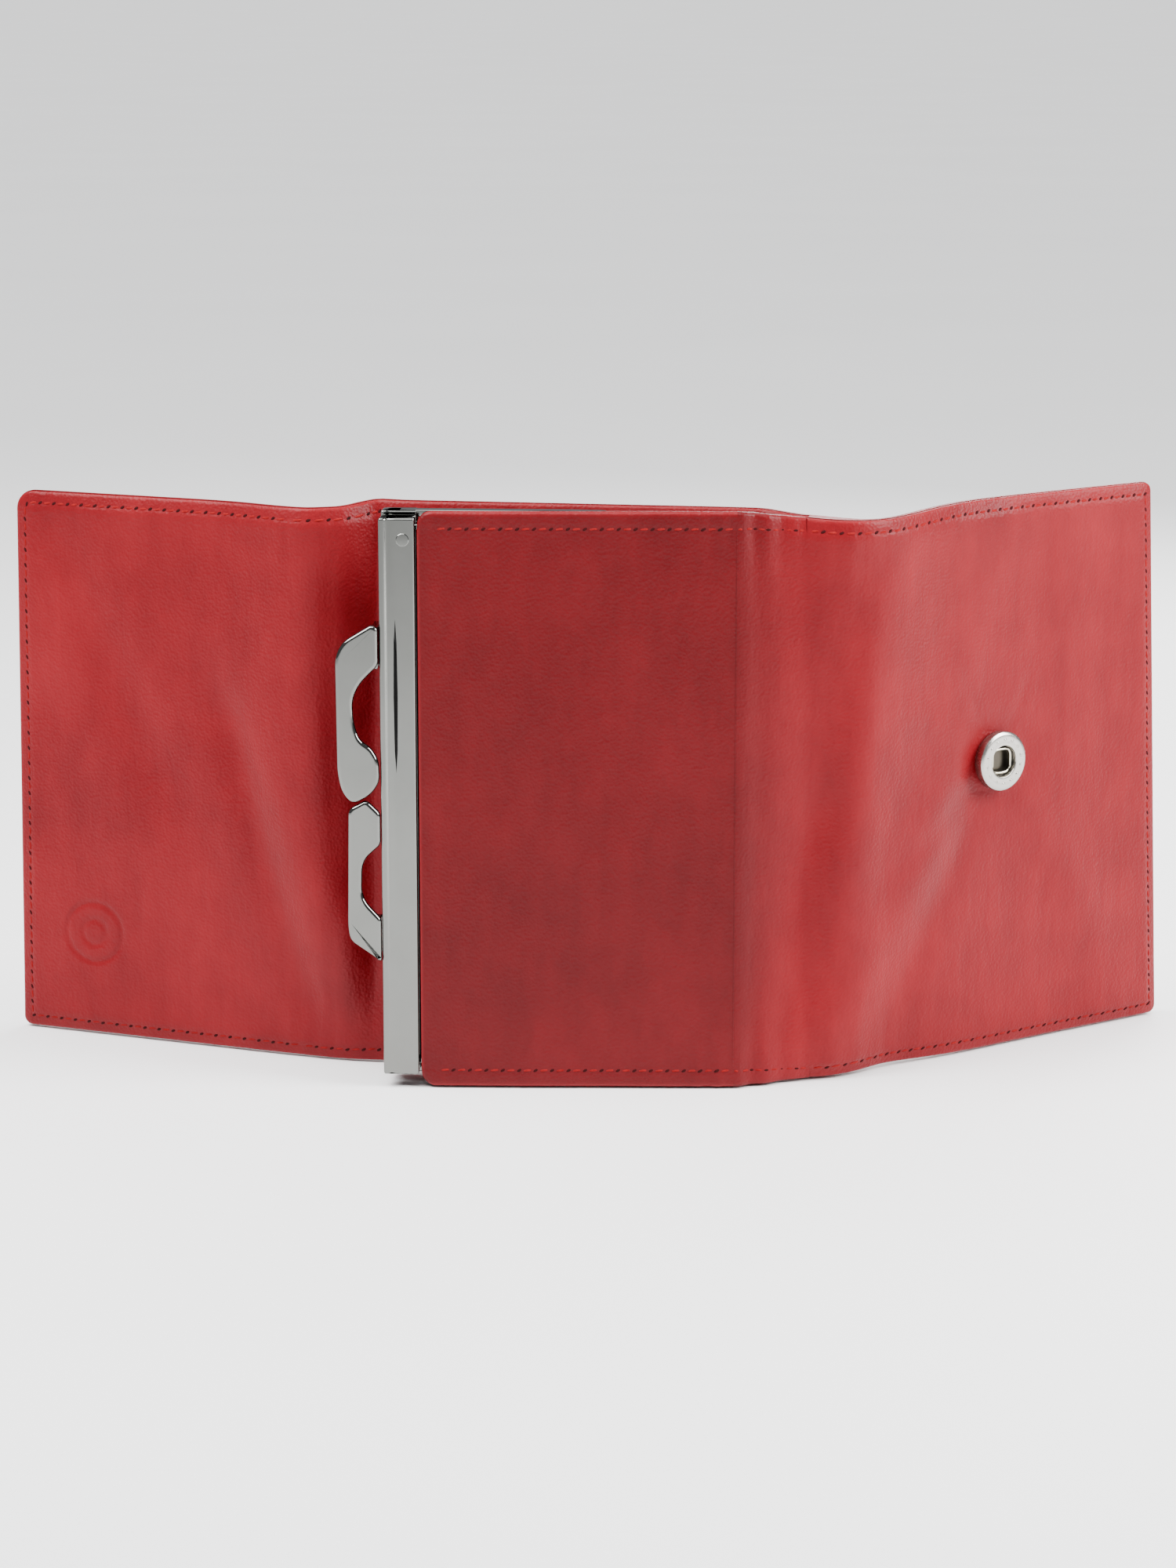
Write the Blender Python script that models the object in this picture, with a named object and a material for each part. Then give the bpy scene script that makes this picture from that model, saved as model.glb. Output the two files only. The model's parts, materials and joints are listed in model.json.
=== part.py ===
"""A tri-fold leather coin purse with a sprung-hook metal frame, standing open on its lower edges.

World frame: the origin is the middle of the back panel's lower edge, in the mid-plane of its outer leather.
+X runs along the back panel towards the snap wing, +Y points out of the back panel, and +Z is up.
Each folding panel is built flat in the frame of its own fold line, and an empty on that line places it.
"""

from math import cos, radians, sin, tan

import bmesh
import bpy
from mathutils import Vector

MM = 0.001

# Leather, board and the gap that neighbouring layers keep.
LEATHER = 0.9
BOARD = 0.4
LINING = 0.7
GAP = 0.3
SHELL_HEIGHT = 94.0
LINING_INSET = 0.4
CORNER = 5.0
SQUARE_CORNER = 1.6

# Fold lines, measured along X, and the widths between them.
PANEL_HALF = 35.4
LEFT_SPINE = 13.9
LEFT_WING = 45.6
RIGHT_SPINE = 13.8
RIGHT_WING = 66.8
CREASE_LEATHER = 0.8
CREASE_INNER = 2.2

# Angles by which the panels lean back from flat at rest, and how they lie when the purse is shut.
LEFT_SPINE_REST = 11.0
LEFT_WING_REST = 13.0
RIGHT_SPINE_REST = 8.0
RIGHT_WING_REST = 45.0
LEFT_WING_SHUT_SLOPE = 2.5
RIGHT_WING_SHUT_SLOPE = 5.4

# The coin pouch is a page that turns on this line, close to the right-hand fold.
PAGE_PIVOT_X = 32.5
PAGE_PIVOT_Y = -2.6
PAGE_REST = 5.4
POUCH_HEIGHT = 95.0
POUCH_LEFT = -52.7
POUCH_RIGHT = -1.7
FRONT_SLOPE = 2.7
REAR_WALL = 0.8
FRONT_LINING = 0.4

# The metal frame: two channel bars with arms that meet in rivets at the top and bottom edges.
BAR_LEFT = -58.9
BAR_WIDTH = 5.8
BAR_DEPTH = 3.8
BAR_LOW = 2.0
BAR_HIGH = 93.9
CHANNEL_SLOT = 2.2
CHANNEL_BOTTOM = 1.5
REAR_SLOT_DEPTH = 1.1
FRONT_SLOT_DEPTH = 0.5
BAR_RIM = 0.5
ARM_THICK = 1.0
RIVET_X = -24.0
RIVET_Y = -3.0
EYE_RADIUS = 1.3
PIN_RADIUS = 0.6
PIN_CLEARANCE = 0.25
RIVET_HEAD = 1.2
CORD_RADIUS = 0.45
FOLD_ROOM = 3.2

# The two clasp hooks: how far left of the bar and at what height each point of their outlines lies,
# from the foot's outer end round to the tip and back along the scalloped inner edge.
HOOK_THICK = 1.1
HOOK_PROUD = 0.4
HOOK_FOOT = (0.3, 1.6)
UPPER_HOOK = [
    (0.3, 76.6),
    (0.9, 76.6),
    (6.6, 71.2),
    (6.6, 50.4),
    (5.0, 47.6),
    (3.0, 48.3),
    (0.3, 50.2),
    (0.3, 53.6),
    (3.6, 57.0),
    (4.1, 58.6),
    (4.1, 64.4),
    (3.5, 65.6),
    (0.3, 68.6),
]
LOWER_HOOK = [
    (0.3, 21.4),
    (0.9, 21.4),
    (5.6, 26.0),
    (5.6, 44.6),
    (4.0, 47.1),
    (3.0, 47.7),
    (0.3, 45.4),
    (0.3, 40.6),
    (2.6, 38.2),
    (3.1, 37.0),
    (3.1, 33.4),
    (2.5, 31.6),
    (0.3, 28.4),
]
UPPER_FOOT = (69.2, 75.8)
LOWER_FOOT = (22.8, 28.0)

# The snap: its socket on the right wing, and the stud on the left wing where the socket lands.
SNAP_HEIGHT = 50.0
SOCKET_ALONG = 30.2
SOCKET_RADIUS = 5.0
SOCKET_THICK = 1.6
SOCKET_HOLE = 2.7
SOCKET_GROOVE = 0.5
SPRING_WINDOW = 2.3
SPRING_CORNER = 1.2
SPRING_WIRE = 0.24
CAP_RADIUS = 5.6
CAP_THICK = 0.9
POST_RADIUS = 1.3
POST_HOLE = 1.7
STUD_HEAD = 2.0
STUD_TALL = 1.3
WASHER_RADIUS = 3.4

INNER_FACE = LEATHER / 2 + GAP + BOARD + GAP + LINING
SIDES = 24

RED_SHELL = (0.36, 0.035, 0.045)
RED_POUCH = (0.27, 0.022, 0.028)
STEEL = (0.62, 0.63, 0.62)


def clear_scene():
    for obj in list(bpy.data.objects):
        bpy.data.objects.remove(obj, do_unlink=True)


def material(name, colour, roughness, metallic=0.0):
    made = bpy.data.materials.new(name)
    made.use_nodes = True
    shader = made.node_tree.nodes["Principled BSDF"]
    shader.inputs["Base Color"].default_value = (*colour, 1.0)
    shader.inputs["Roughness"].default_value = roughness
    shader.inputs["Metallic"].default_value = metallic
    return made


def axis_empty(name, x, y, turn, parent=None):
    """An upright line that a panel folds about; its local X runs along the flat panel."""
    empty = bpy.data.objects.new(name, None)
    bpy.context.scene.collection.objects.link(empty)
    empty.parent = parent
    empty.location = (x * MM, y * MM, 0.0)
    empty.rotation_euler = (0.0, 0.0, radians(turn))
    return empty


def add_object(name, bm, parent, look, smooth=False):
    bmesh.ops.recalc_face_normals(bm, faces=bm.faces)
    mesh = bpy.data.meshes.new(name)
    bm.to_mesh(mesh)
    bm.free()
    if smooth:
        mesh.shade_smooth()
        mesh.set_sharp_from_angle(angle=radians(40))
    mesh.materials.append(look)
    obj = bpy.data.objects.new(name, mesh)
    obj.parent = parent
    bpy.context.scene.collection.objects.link(obj)
    return obj


def prism(outline, low, high, place):
    """The closed solid of a flat outline between two levels; place maps (u, v, level) to a point."""
    bm = bmesh.new()
    bottom = [bm.verts.new(Vector(place(u, v, low)) * MM) for u, v in outline]
    top = [bm.verts.new(Vector(place(u, v, high)) * MM) for u, v in outline]
    bm.faces.new(bottom)
    bm.faces.new(top)
    count = len(outline)
    for i in range(count):
        j = (i + 1) % count
        bm.faces.new((bottom[i], bottom[j], top[j], top[i]))
    return bm


def on_elevation(u, v, level):
    return (u, level, v)


def on_plan(u, v, level):
    return (u, v, level)


def elevation_plate(name, outline, y_low, y_high, parent, look):
    """A plate whose outline is drawn in X and Z and whose thickness lies along Y."""
    return add_object(name, prism(outline, y_low, y_high, on_elevation), parent, look)


def plan_prism(name, outline, z_low, z_high, parent, look, smooth=False):
    """An upright prism whose outline is drawn in X and Y."""
    return add_object(name, prism(outline, z_low, z_high, on_plan), parent, look, smooth)


def arc(cx, cy, radius, start, end, steps):
    turns = [radians(start + (end - start) * i / steps) for i in range(steps + 1)]
    return [(cx + radius * cos(a), cy + radius * sin(a)) for a in turns]


def circle(cx, cy, radius, sides=SIDES):
    return arc(cx, cy, radius, 0.0, 360.0 * (sides - 1) / sides, sides - 1)


def rectangle(u0, u1, v0, v1, radii=(0.0, 0.0, 0.0, 0.0)):
    """A rectangle with its own radius at each corner: low-low, high-low, high-high, low-high."""
    corners = [(u0, v0, 1, 1, 180), (u1, v0, -1, 1, 270), (u1, v1, -1, -1, 0), (u0, v1, 1, -1, 90)]
    points = []
    for (u, v, du, dv, start), radius in zip(corners, radii):
        if radius:
            points += arc(u + du * radius, v + dv * radius, radius, start, start + 90, 6)
        else:
            points.append((u, v))
    return points


def turned(name, profile, centre, parent, look, across=True, hollow=False):
    """A round piece from (radius, level) points; its axis lies along Y, or along Z if not across.

    The profile of a hollow piece is a closed loop, and that of a solid one runs from end to end.
    """
    bm = bmesh.new()
    rings = []
    for radius, level in profile:
        ring = []
        for u, v in circle(0.0, 0.0, radius):
            point = (u, level, v) if across else (u, v, level)
            ring.append(bm.verts.new((Vector(point) + Vector(centre)) * MM))
        rings.append(ring)
    following = rings[1:] + rings[:1] if hollow else rings[1:]
    for first, second in zip(rings, following):
        for i in range(SIDES):
            j = (i + 1) % SIDES
            bm.faces.new((first[i], first[j], second[j], second[i]))
    if not hollow:
        bm.faces.new(rings[0])
        bm.faces.new(rings[-1])
    return add_object(name, bm, parent, look, smooth=True)


def boolean(obj, cutter, operation):
    modifier = obj.modifiers.new(operation.title(), "BOOLEAN")
    modifier.object = cutter
    modifier.operation = operation
    modifier.solver = "EXACT"
    cutter.hide_render = True
    cutter.display_type = "WIRE"


def round_cutter(name, u, v, radius, low, high, parent, look, place):
    bm = prism(circle(u, v, radius), low, high, place)
    return add_object(name, bm, parent, look)


def layered_panel(name, near, far, radii, parent, looks, board=True):
    """Outer leather, stiffener board and lining between a fold line (near) and an edge or fold (far).

    near and far are distances along local X. The crease room is kept at each fold line, and radii round
    the corners of the outer leather: low-low, high-low, high-high, low-high.
    """
    leather_look, board_look, lining_look = looks
    sign = 1 if far > near else -1
    far_is_fold = not any(radii)
    leather_far = far - sign * CREASE_LEATHER if far_is_fold else far
    inner_far = far - sign * CREASE_INNER if far_is_fold else far - sign * LINING_INSET
    leather_span = sorted((near + sign * CREASE_LEATHER, leather_far))
    inner_span = sorted((near + sign * CREASE_INNER, inner_far))
    inner_radii = tuple(max(r - LINING_INSET, 0.0) for r in radii)
    outline = rectangle(*leather_span, 0.0, SHELL_HEIGHT, radii)
    inner = rectangle(*inner_span, LINING_INSET, SHELL_HEIGHT - LINING_INSET, inner_radii)
    made = [elevation_plate(f"{name}_leather", outline, -LEATHER / 2, LEATHER / 2, parent, leather_look)]
    top = -LEATHER / 2 - GAP
    if board:
        made.append(elevation_plate(f"{name}_board", inner, top - BOARD, top, parent, board_look))
        top -= BOARD + GAP
    made.append(elevation_plate(f"{name}_lining", inner, top - LINING, top, parent, lining_look))
    return made


def channel_bar(back, slot_depth):
    """Plan outline of a channel bar open towards the pouch.

    back is the level of the bar's rearmost side, and slot_depth how far in front of it the slot starts.
    """
    right = BAR_LEFT + BAR_WIDTH
    front = back - BAR_DEPTH
    slot_back = back - slot_depth
    slot_front = slot_back - CHANNEL_SLOT
    slot_end = BAR_LEFT + CHANNEL_BOTTOM
    return [
        (BAR_LEFT + BAR_RIM, back),
        (right, back),
        (right, slot_back),
        (slot_end, slot_back),
        (slot_end, slot_front),
        (right, slot_front),
        (right, front),
        (BAR_LEFT + BAR_RIM, front),
        (BAR_LEFT, front + BAR_RIM),
        (BAR_LEFT, back - BAR_RIM),
    ]


def arm_outline(y_low, y_high):
    """Plan outline of a frame arm: from inside its bar to a round eye about the rivet."""
    start = BAR_LEFT + CHANNEL_BOTTOM - 0.6
    eye = arc(RIVET_X, RIVET_Y, EYE_RADIUS, -90.0, 90.0, 10)
    return [(start, y_low), (BAR_LEFT + BAR_WIDTH + 1.5, y_low)] + eye + [
        (BAR_LEFT + BAR_WIDTH + 1.5, y_high),
        (start, y_high),
    ]


def frame_half(name, back, slot_depth, arm_span, arm_levels, parent, look):
    """A bar with an arm along the top edge and one along the bottom edge, each with a rivet eye."""
    bar = plan_prism(name, channel_bar(back, slot_depth), BAR_LOW, BAR_HIGH, parent, look)
    for place, (low, high) in arm_levels.items():
        arm = plan_prism(f"{name}_{place}_arm", arm_outline(*arm_span), low, high, parent, look)
        boolean(bar, arm, "UNION")
    radius = PIN_RADIUS + PIN_CLEARANCE
    span = (BAR_LOW - 2.0, BAR_HIGH + 2.0)
    hole = round_cutter(f"{name}_eye_cut", RIVET_X, RIVET_Y, radius, *span, parent, look, on_plan)
    boolean(bar, hole, "DIFFERENCE")
    return bar


def build_back_panel(looks):
    empty = axis_empty("back_panel_frame", 0.0, 0.0, 0.0)
    half = PANEL_HALF
    spans = {
        "back_shell_leather": (half - CREASE_LEATHER, 0.0, -LEATHER / 2, LEATHER / 2, looks[0]),
        "back_stiffener_board": (
            half - CREASE_INNER,
            LINING_INSET,
            -LEATHER / 2 - GAP - BOARD,
            -LEATHER / 2 - GAP,
            looks[1],
        ),
        "back_lining": (half - CREASE_INNER, LINING_INSET, -INNER_FACE, -INNER_FACE + LINING, looks[2]),
    }
    for name, (reach, inset, y_low, y_high, look) in spans.items():
        outline = rectangle(-reach, reach, inset, SHELL_HEIGHT - inset)
        elevation_plate(name, outline, y_low, y_high, empty, look)


def build_left_side(looks):
    spine = axis_empty("left_spine_axis", -PANEL_HALF, 0.0, -LEFT_SPINE_REST)
    layered_panel("left_spine", 0.0, -LEFT_SPINE, (0, 0, 0, 0), spine, looks, board=False)
    turn = LEFT_SPINE_REST - LEFT_WING_REST
    wing = axis_empty("left_wing_axis", -LEFT_SPINE, 0.0, turn, spine)
    radii = (SQUARE_CORNER, 0.0, 0.0, CORNER)
    leather, board, _ = layered_panel("left_wing", 0.0, -LEFT_WING, radii, wing, looks)
    return wing, leather, board


def build_right_side(looks):
    spine = axis_empty("right_spine_axis", PANEL_HALF, 0.0, RIGHT_SPINE_REST)
    layered_panel("right_spine", 0.0, RIGHT_SPINE, (0, 0, 0, 0), spine, looks, board=False)
    turn = RIGHT_WING_REST - RIGHT_SPINE_REST
    wing = axis_empty("right_wing_axis", RIGHT_SPINE, 0.0, turn, spine)
    radii = (0.0, SQUARE_CORNER, SQUARE_CORNER, 0.0)
    return wing, layered_panel("right_wing", 0.0, RIGHT_WING, radii, wing, looks)


def stud_place():
    """How far along the left wing the socket lands when both wings are shut."""
    right = radians(RIGHT_WING_SHUT_SLOPE)
    left = radians(LEFT_WING_SHUT_SLOPE)
    socket_x = PANEL_HALF - SOCKET_ALONG * cos(right) - (INNER_FACE + SOCKET_THICK / 2) * sin(right)
    stud_root_x = socket_x - (LEATHER / 2 + STUD_TALL) * sin(left)
    return -(stud_root_x + PANEL_HALF) / cos(left)


def build_snap(left_wing, left_leather, left_board, right_wing, right_layers, steel, brass):
    """Stud and washer in the left wing; cap, socket ring and spring wires in the right wing."""
    x = stud_place()
    place = (x, 0.0, SNAP_HEIGHT)
    outer = LEATHER / 2
    post_low = -outer - GAP - BOARD + 0.05
    profile = [
        (POST_RADIUS, post_low),
        (POST_RADIUS, outer + 0.25),
        (STUD_HEAD, outer + 0.65),
        (STUD_HEAD, outer + 1.0),
        (STUD_HEAD - 0.6, outer + STUD_TALL),
    ]
    turned("snap_stud", profile, place, left_wing, steel)
    ring = [
        (POST_HOLE - 0.1, -outer - GAP - BOARD),
        (POST_HOLE - 0.1, -outer - GAP),
        (WASHER_RADIUS, -outer - GAP),
        (WASHER_RADIUS, -outer - GAP - BOARD),
    ]
    turned("stud_washer", ring, place, left_wing, brass, hollow=True)
    depth = (-INNER_FACE - 1.0, outer + 1.0)
    drill = (*depth, left_wing, steel, on_elevation)
    left_hole = round_cutter("stud_hole_cut", x, SNAP_HEIGHT, POST_HOLE, *drill)
    boolean(left_leather, left_hole, "DIFFERENCE")
    seat_cut = round_cutter("washer_seat_cut", x, SNAP_HEIGHT, WASHER_RADIUS + GAP, *drill)
    boolean(left_board, seat_cut, "DIFFERENCE")

    x = SOCKET_ALONG
    place = (x, 0.0, SNAP_HEIGHT)
    cap = [
        (POST_RADIUS, -INNER_FACE + 0.1),
        (POST_RADIUS, outer + GAP),
        (CAP_RADIUS, outer + GAP),
        (CAP_RADIUS, outer + GAP + 0.35),
        (CAP_RADIUS - 1.2, outer + GAP + CAP_THICK - 0.15),
        (CAP_RADIUS - 3.0, outer + GAP + CAP_THICK),
    ]
    turned("snap_cap", cap, place, right_wing, steel)
    face = -INNER_FACE - SOCKET_THICK
    groove = (face + 0.55, -INNER_FACE - 0.5)
    socket = [
        (SOCKET_HOLE, face),
        (SOCKET_HOLE, groove[0]),
        (SOCKET_HOLE + SOCKET_GROOVE, groove[0]),
        (SOCKET_HOLE + SOCKET_GROOVE, groove[1]),
        (SOCKET_HOLE, groove[1]),
        (SOCKET_HOLE, -INNER_FACE - 0.05),
        (SOCKET_RADIUS - 0.3, -INNER_FACE - 0.05),
        (SOCKET_RADIUS, -INNER_FACE - 0.4),
        (SOCKET_RADIUS, face + 0.5),
        (SOCKET_RADIUS - 0.5, face),
    ]
    turned("snap_socket", socket, place, right_wing, steel, hollow=True)
    level = (groove[0] + groove[1]) / 2
    spring_ring = SOCKET_HOLE + SOCKET_GROOVE - 0.2
    outline = circle(x, SNAP_HEIGHT, spring_ring)
    wire = SPRING_WIRE / 2
    spring = elevation_plate("snap_spring", outline, level - wire, level + wire, right_wing, brass)
    inside = SPRING_WINDOW
    radii = (SPRING_CORNER,) * 4
    square = rectangle(x - inside, x + inside, SNAP_HEIGHT - inside, SNAP_HEIGHT + inside, radii)
    window = elevation_plate("spring_window_cut", square, level - 1.0, level + 1.0, right_wing, brass)
    boolean(spring, window, "DIFFERENCE")
    hole = round_cutter("post_hole_cut", x, SNAP_HEIGHT, POST_HOLE, *depth, right_wing, steel, on_elevation)
    for layer in right_layers:
        boolean(layer, hole, "DIFFERENCE")


def build_pouch(page, red, lining, cord, steel, brass):
    """The coin pouch: rear wall, framed mouth, front wall in a moving and a fixed part, welt and gussets."""
    bar_right = BAR_LEFT + BAR_WIDTH
    front_back = -BAR_DEPTH - GAP
    face = front_back - BAR_DEPTH
    rear = rectangle(bar_right + GAP, -0.6, 0.0, POUCH_HEIGHT - 0.6, (2.0, 0.0, 0.0, 2.0))
    elevation_plate("pouch_rear_wall", rear, -REAR_WALL, 0.0, page, red)

    rear_levels = {
        "top": (BAR_HIGH - ARM_THICK, BAR_HIGH),
        "bottom": (BAR_LOW, BAR_LOW + ARM_THICK),
    }
    rear_arm = (-3.6, -REAR_WALL - GAP)
    frame_half("rear_frame_half", 0.0, REAR_SLOT_DEPTH, rear_arm, rear_levels, page, steel)

    mouth = axis_empty("purse_mouth_axis", RIVET_X, RIVET_Y, 0.0, page)
    moving = axis_empty("front_half_frame", -RIVET_X, -RIVET_Y, 0.0, mouth)
    step = ARM_THICK + GAP
    front_levels = {
        "top": (BAR_HIGH - ARM_THICK - step, BAR_HIGH - step),
        "bottom": (BAR_LOW + step, BAR_LOW + ARM_THICK + step),
    }
    front_arm = (front_back - 1.6, front_back - 0.1)
    frame_half("front_frame_half", front_back, FRONT_SLOT_DEPTH, front_arm, front_levels, moving, steel)

    slot_middle = BAR_LEFT + CHANNEL_BOTTOM + 0.8
    cords = {"rear_channel_cord": (-2.6, page), "front_channel_cord": (front_back - 1.15, moving)}
    for name, (level, parent) in cords.items():
        outline = circle(slot_middle, level, CORD_RADIUS, 10)
        plan_prism(name, outline, BAR_LOW + 3.4, BAR_HIGH - 3.4, parent, cord, smooth=True)

    for end, side in (("top", 1), ("bottom", -1)):
        middle = (BAR_HIGH + BAR_LOW) / 2
        edge = (BAR_HIGH - BAR_LOW) / 2
        span = edge - 2 * ARM_THICK - GAP
        profile = [
            (RIVET_HEAD - 0.3, middle + side * (span - 0.75)),
            (RIVET_HEAD, middle + side * (span - 0.5)),
            (RIVET_HEAD, middle + side * (span - 0.25)),
            (PIN_RADIUS, middle + side * (span - 0.25)),
            (PIN_RADIUS, middle + side * (edge + 0.2)),
            (RIVET_HEAD, middle + side * (edge + 0.2)),
            (RIVET_HEAD, middle + side * (edge + 0.4)),
            (RIVET_HEAD - 0.4, middle + side * (edge + 0.65)),
        ]
        turned(f"hinge_rivet_{end}", profile, (RIVET_X, RIVET_Y, 0.0), page, steel, across=False)

    slope = tan(radians(FRONT_SLOPE))
    outer_face = face + 0.2

    def wall(name, left, right, skin, thick, z_low, z_high, parent, look, rounded=0.0):
        """A wall panel that follows the pouch's taper, skin mm behind its outer face."""
        hold = axis_empty(f"{name}_frame", POUCH_LEFT, outer_face + skin, FRONT_SLOPE, parent)
        length = (right - POUCH_LEFT) / cos(radians(FRONT_SLOPE))
        start = (left - POUCH_LEFT) / cos(radians(FRONT_SLOPE))
        outline = rectangle(start, length, z_low, z_high, (rounded, 0.0, 0.0, rounded))
        return elevation_plate(name, outline, 0.0, thick, hold, look)

    fixed_left = RIVET_X + FOLD_ROOM
    inner_skin = LEATHER + GAP
    outside = (0.0, LEATHER, 0.0, POUCH_HEIGHT)
    inside = (inner_skin, FRONT_LINING, 5.4, 90.4)
    wall("front_wall_leather", POUCH_LEFT, RIVET_X, *outside, moving, red, 2.4)
    wall("front_wall_lining", slot_middle + 1.2, RIVET_X, *inside, moving, lining)
    wall("pouch_front_panel", fixed_left, POUCH_RIGHT, *outside, page, red)
    wall("pouch_front_lining", fixed_left, POUCH_RIGHT - 2.2, *inside, page, lining)

    welt_front = outer_face + (POUCH_RIGHT - 1.6 - POUCH_LEFT) * slope + LEATHER + GAP
    welt = rectangle(POUCH_RIGHT - 1.6, POUCH_RIGHT, welt_front, -REAR_WALL - GAP)
    plan_prism("pouch_end_welt", welt, 0.4, POUCH_HEIGHT - 1.0, page, red)

    for end, (low, high) in {"top": (88.4, 89.6), "bottom": (6.2, 7.4)}.items():
        far = RIVET_X - EYE_RADIUS - 1.0
        depth = outer_face + inner_skin + FRONT_LINING + GAP
        taper = (far - bar_right - 0.6) * slope
        outline = [
            (bar_right + 0.6, -REAR_WALL - GAP),
            (bar_right + 0.6, depth),
            (far, depth + taper),
            (far, -REAR_WALL - GAP),
        ]
        plan_prism(f"gusset_{end}", outline, low, high, page, lining)

    build_hooks(page, moving, face, steel)


def clasp_hook(name, outline, front, foot_levels, foot_back, parent, look):
    """A flat hook in front of its bar, with a foot that reaches back beside the bar."""
    points = [(BAR_LEFT - out, level) for out, level in outline]
    hook = elevation_plate(name, points, front, front + HOOK_THICK, parent, look)
    near, far = HOOK_FOOT
    web = rectangle(BAR_LEFT - far, BAR_LEFT - near, front + 0.2, foot_back)
    foot = plan_prism(f"{name}_foot", web, *foot_levels, parent, look)
    boolean(hook, foot, "UNION")


def build_hooks(page, moving, face, steel):
    """The upper hook stands on the rear bar and the lower on the front bar; their tips meet when shut."""
    front = face - HOOK_PROUD
    clasp_hook("upper_clasp_hook", UPPER_HOOK, front, UPPER_FOOT, -1.2, page, steel)
    clasp_hook("lower_clasp_hook", LOWER_HOOK, front + 0.2, LOWER_FOOT, face + 3.0, moving, steel)


def build():
    clear_scene()
    red = material("shell leather", RED_SHELL, 0.38)
    pouch_red = material("pouch leather", RED_POUCH, 0.36)
    lining = material("lining", (0.05, 0.02, 0.022), 0.8)
    board = material("board", (0.35, 0.3, 0.24), 0.9)
    cord = material("paper cord", (0.55, 0.5, 0.4), 0.9)
    steel = material("nickel plate", STEEL, 0.12, 1.0)
    brass = material("brass", (0.6, 0.5, 0.3), 0.3, 1.0)

    looks = (red, board, red)
    build_back_panel(looks)
    left_wing, left_leather, left_board = build_left_side(looks)
    right_wing, right_layers = build_right_side(looks)
    bpy.context.view_layer.update()
    build_snap(left_wing, left_leather, left_board, right_wing, right_layers, steel, brass)
    page = axis_empty("page_axis", PAGE_PIVOT_X, PAGE_PIVOT_Y, PAGE_REST)
    build_pouch(page, pouch_red, lining, cord, steel, brass)


build()
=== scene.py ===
"""The looks of a tri-fold leather coin purse: soft leather sheets, stitching, nickel frame and snap.

Lengths are in millimetres until a mesh is made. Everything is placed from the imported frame: the fold
lines are its joints, and the ends of the panels are its plates.

The cover is one long sheet, measured by s along its unfolded middle line (0 at the middle of the back
panel, growing towards the snap wing) and by z upwards. Offsets from that middle line count towards the
inside of the purse.
"""

import json
from math import cos, hypot, pi, radians, sin

import bmesh
import bpy
import numpy as np
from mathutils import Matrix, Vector

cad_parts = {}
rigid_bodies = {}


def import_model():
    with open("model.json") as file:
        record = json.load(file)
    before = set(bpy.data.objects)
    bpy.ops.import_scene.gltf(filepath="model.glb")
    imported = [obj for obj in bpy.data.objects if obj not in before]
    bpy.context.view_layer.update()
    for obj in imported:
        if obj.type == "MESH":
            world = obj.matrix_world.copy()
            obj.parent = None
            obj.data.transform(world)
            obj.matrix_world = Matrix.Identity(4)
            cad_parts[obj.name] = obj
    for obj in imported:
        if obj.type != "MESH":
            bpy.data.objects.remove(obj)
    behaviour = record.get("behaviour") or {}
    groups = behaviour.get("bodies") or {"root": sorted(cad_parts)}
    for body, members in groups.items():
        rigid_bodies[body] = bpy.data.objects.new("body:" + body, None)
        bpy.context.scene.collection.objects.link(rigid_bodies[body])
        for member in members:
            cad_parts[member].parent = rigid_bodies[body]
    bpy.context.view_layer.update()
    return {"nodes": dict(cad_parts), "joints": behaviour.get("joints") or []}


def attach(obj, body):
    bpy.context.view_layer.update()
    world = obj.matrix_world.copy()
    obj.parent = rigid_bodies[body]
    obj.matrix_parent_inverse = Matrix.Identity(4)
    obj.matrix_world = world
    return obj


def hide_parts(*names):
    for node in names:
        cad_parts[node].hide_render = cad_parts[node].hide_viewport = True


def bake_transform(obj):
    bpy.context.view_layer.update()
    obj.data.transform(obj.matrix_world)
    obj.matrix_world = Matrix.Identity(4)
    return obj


MM = 0.001

# Cover thicknesses, as offsets from the middle of the outer leather.
OUTER_FACE = -0.45
COVER_HIDDEN = 0.45
BOARD_FACES = (0.75, 1.15)
LINING_BACK = 1.25
LINING_FACE = 2.15
EDGE_FACE = 1.5

# How the free edges are pared and rounded, and how far the lining and the boards stop short.
EDGE_ROUND = 0.6
EDGE_SOFT = 3.2
EDGE_SEAM = 0.85
LINING_INSET = 0.12
BOARD_INSET = 2.9
BOARD_SHORT = 8.0

# The stitches that run beside every free edge.
STITCH_LINE = 2.0
POUCH_STITCH_LINE = 2.8
STITCH_PITCH = 2.65
STITCH_LENGTH = 1.7
THREAD_RADIUS = 0.22
THREAD_SLANT = 0.1
# Size of the dark lens at each needle hole, painted shade of the hole.
HOLE_LONG = 0.56
HOLE_WIDE = 0.3

CORNER_LARGE = 3.2
CORNER_SMALL = 1.6
SHELL_HEIGHT = 94.0
MID_HEIGHT = SHELL_HEIGHT / 2
CREASE_SOFT = 5.0
GRID_STEP = 1.25
EDGE_LINES = (0.0, 0.05, 0.18, 0.38, 0.6, 1.0, 1.45, 1.75, 2.0, 2.25, 2.55, 3.0, 3.7, 4.6)

# The coin pouch, in the frame of its own page: its hinge line is the origin and it reaches to -u.
POUCH_HEIGHT = 95.0
FRONT_LEFT = -52.75
FRONT_RIGHT = -1.7
FRONT_FACE_LEFT = -7.75
FRONT_SLOPE = 0.0472
FRONT_THICK = 0.9
FRONT_RIM = 1.7
FRONT_BULGE = 0.4
FRONT_CORNER = 2.4
FRONT_ROUND = 0.7
REAR_WALL = 0.8
REAR_HEIGHT = POUCH_HEIGHT - 0.6
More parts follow.
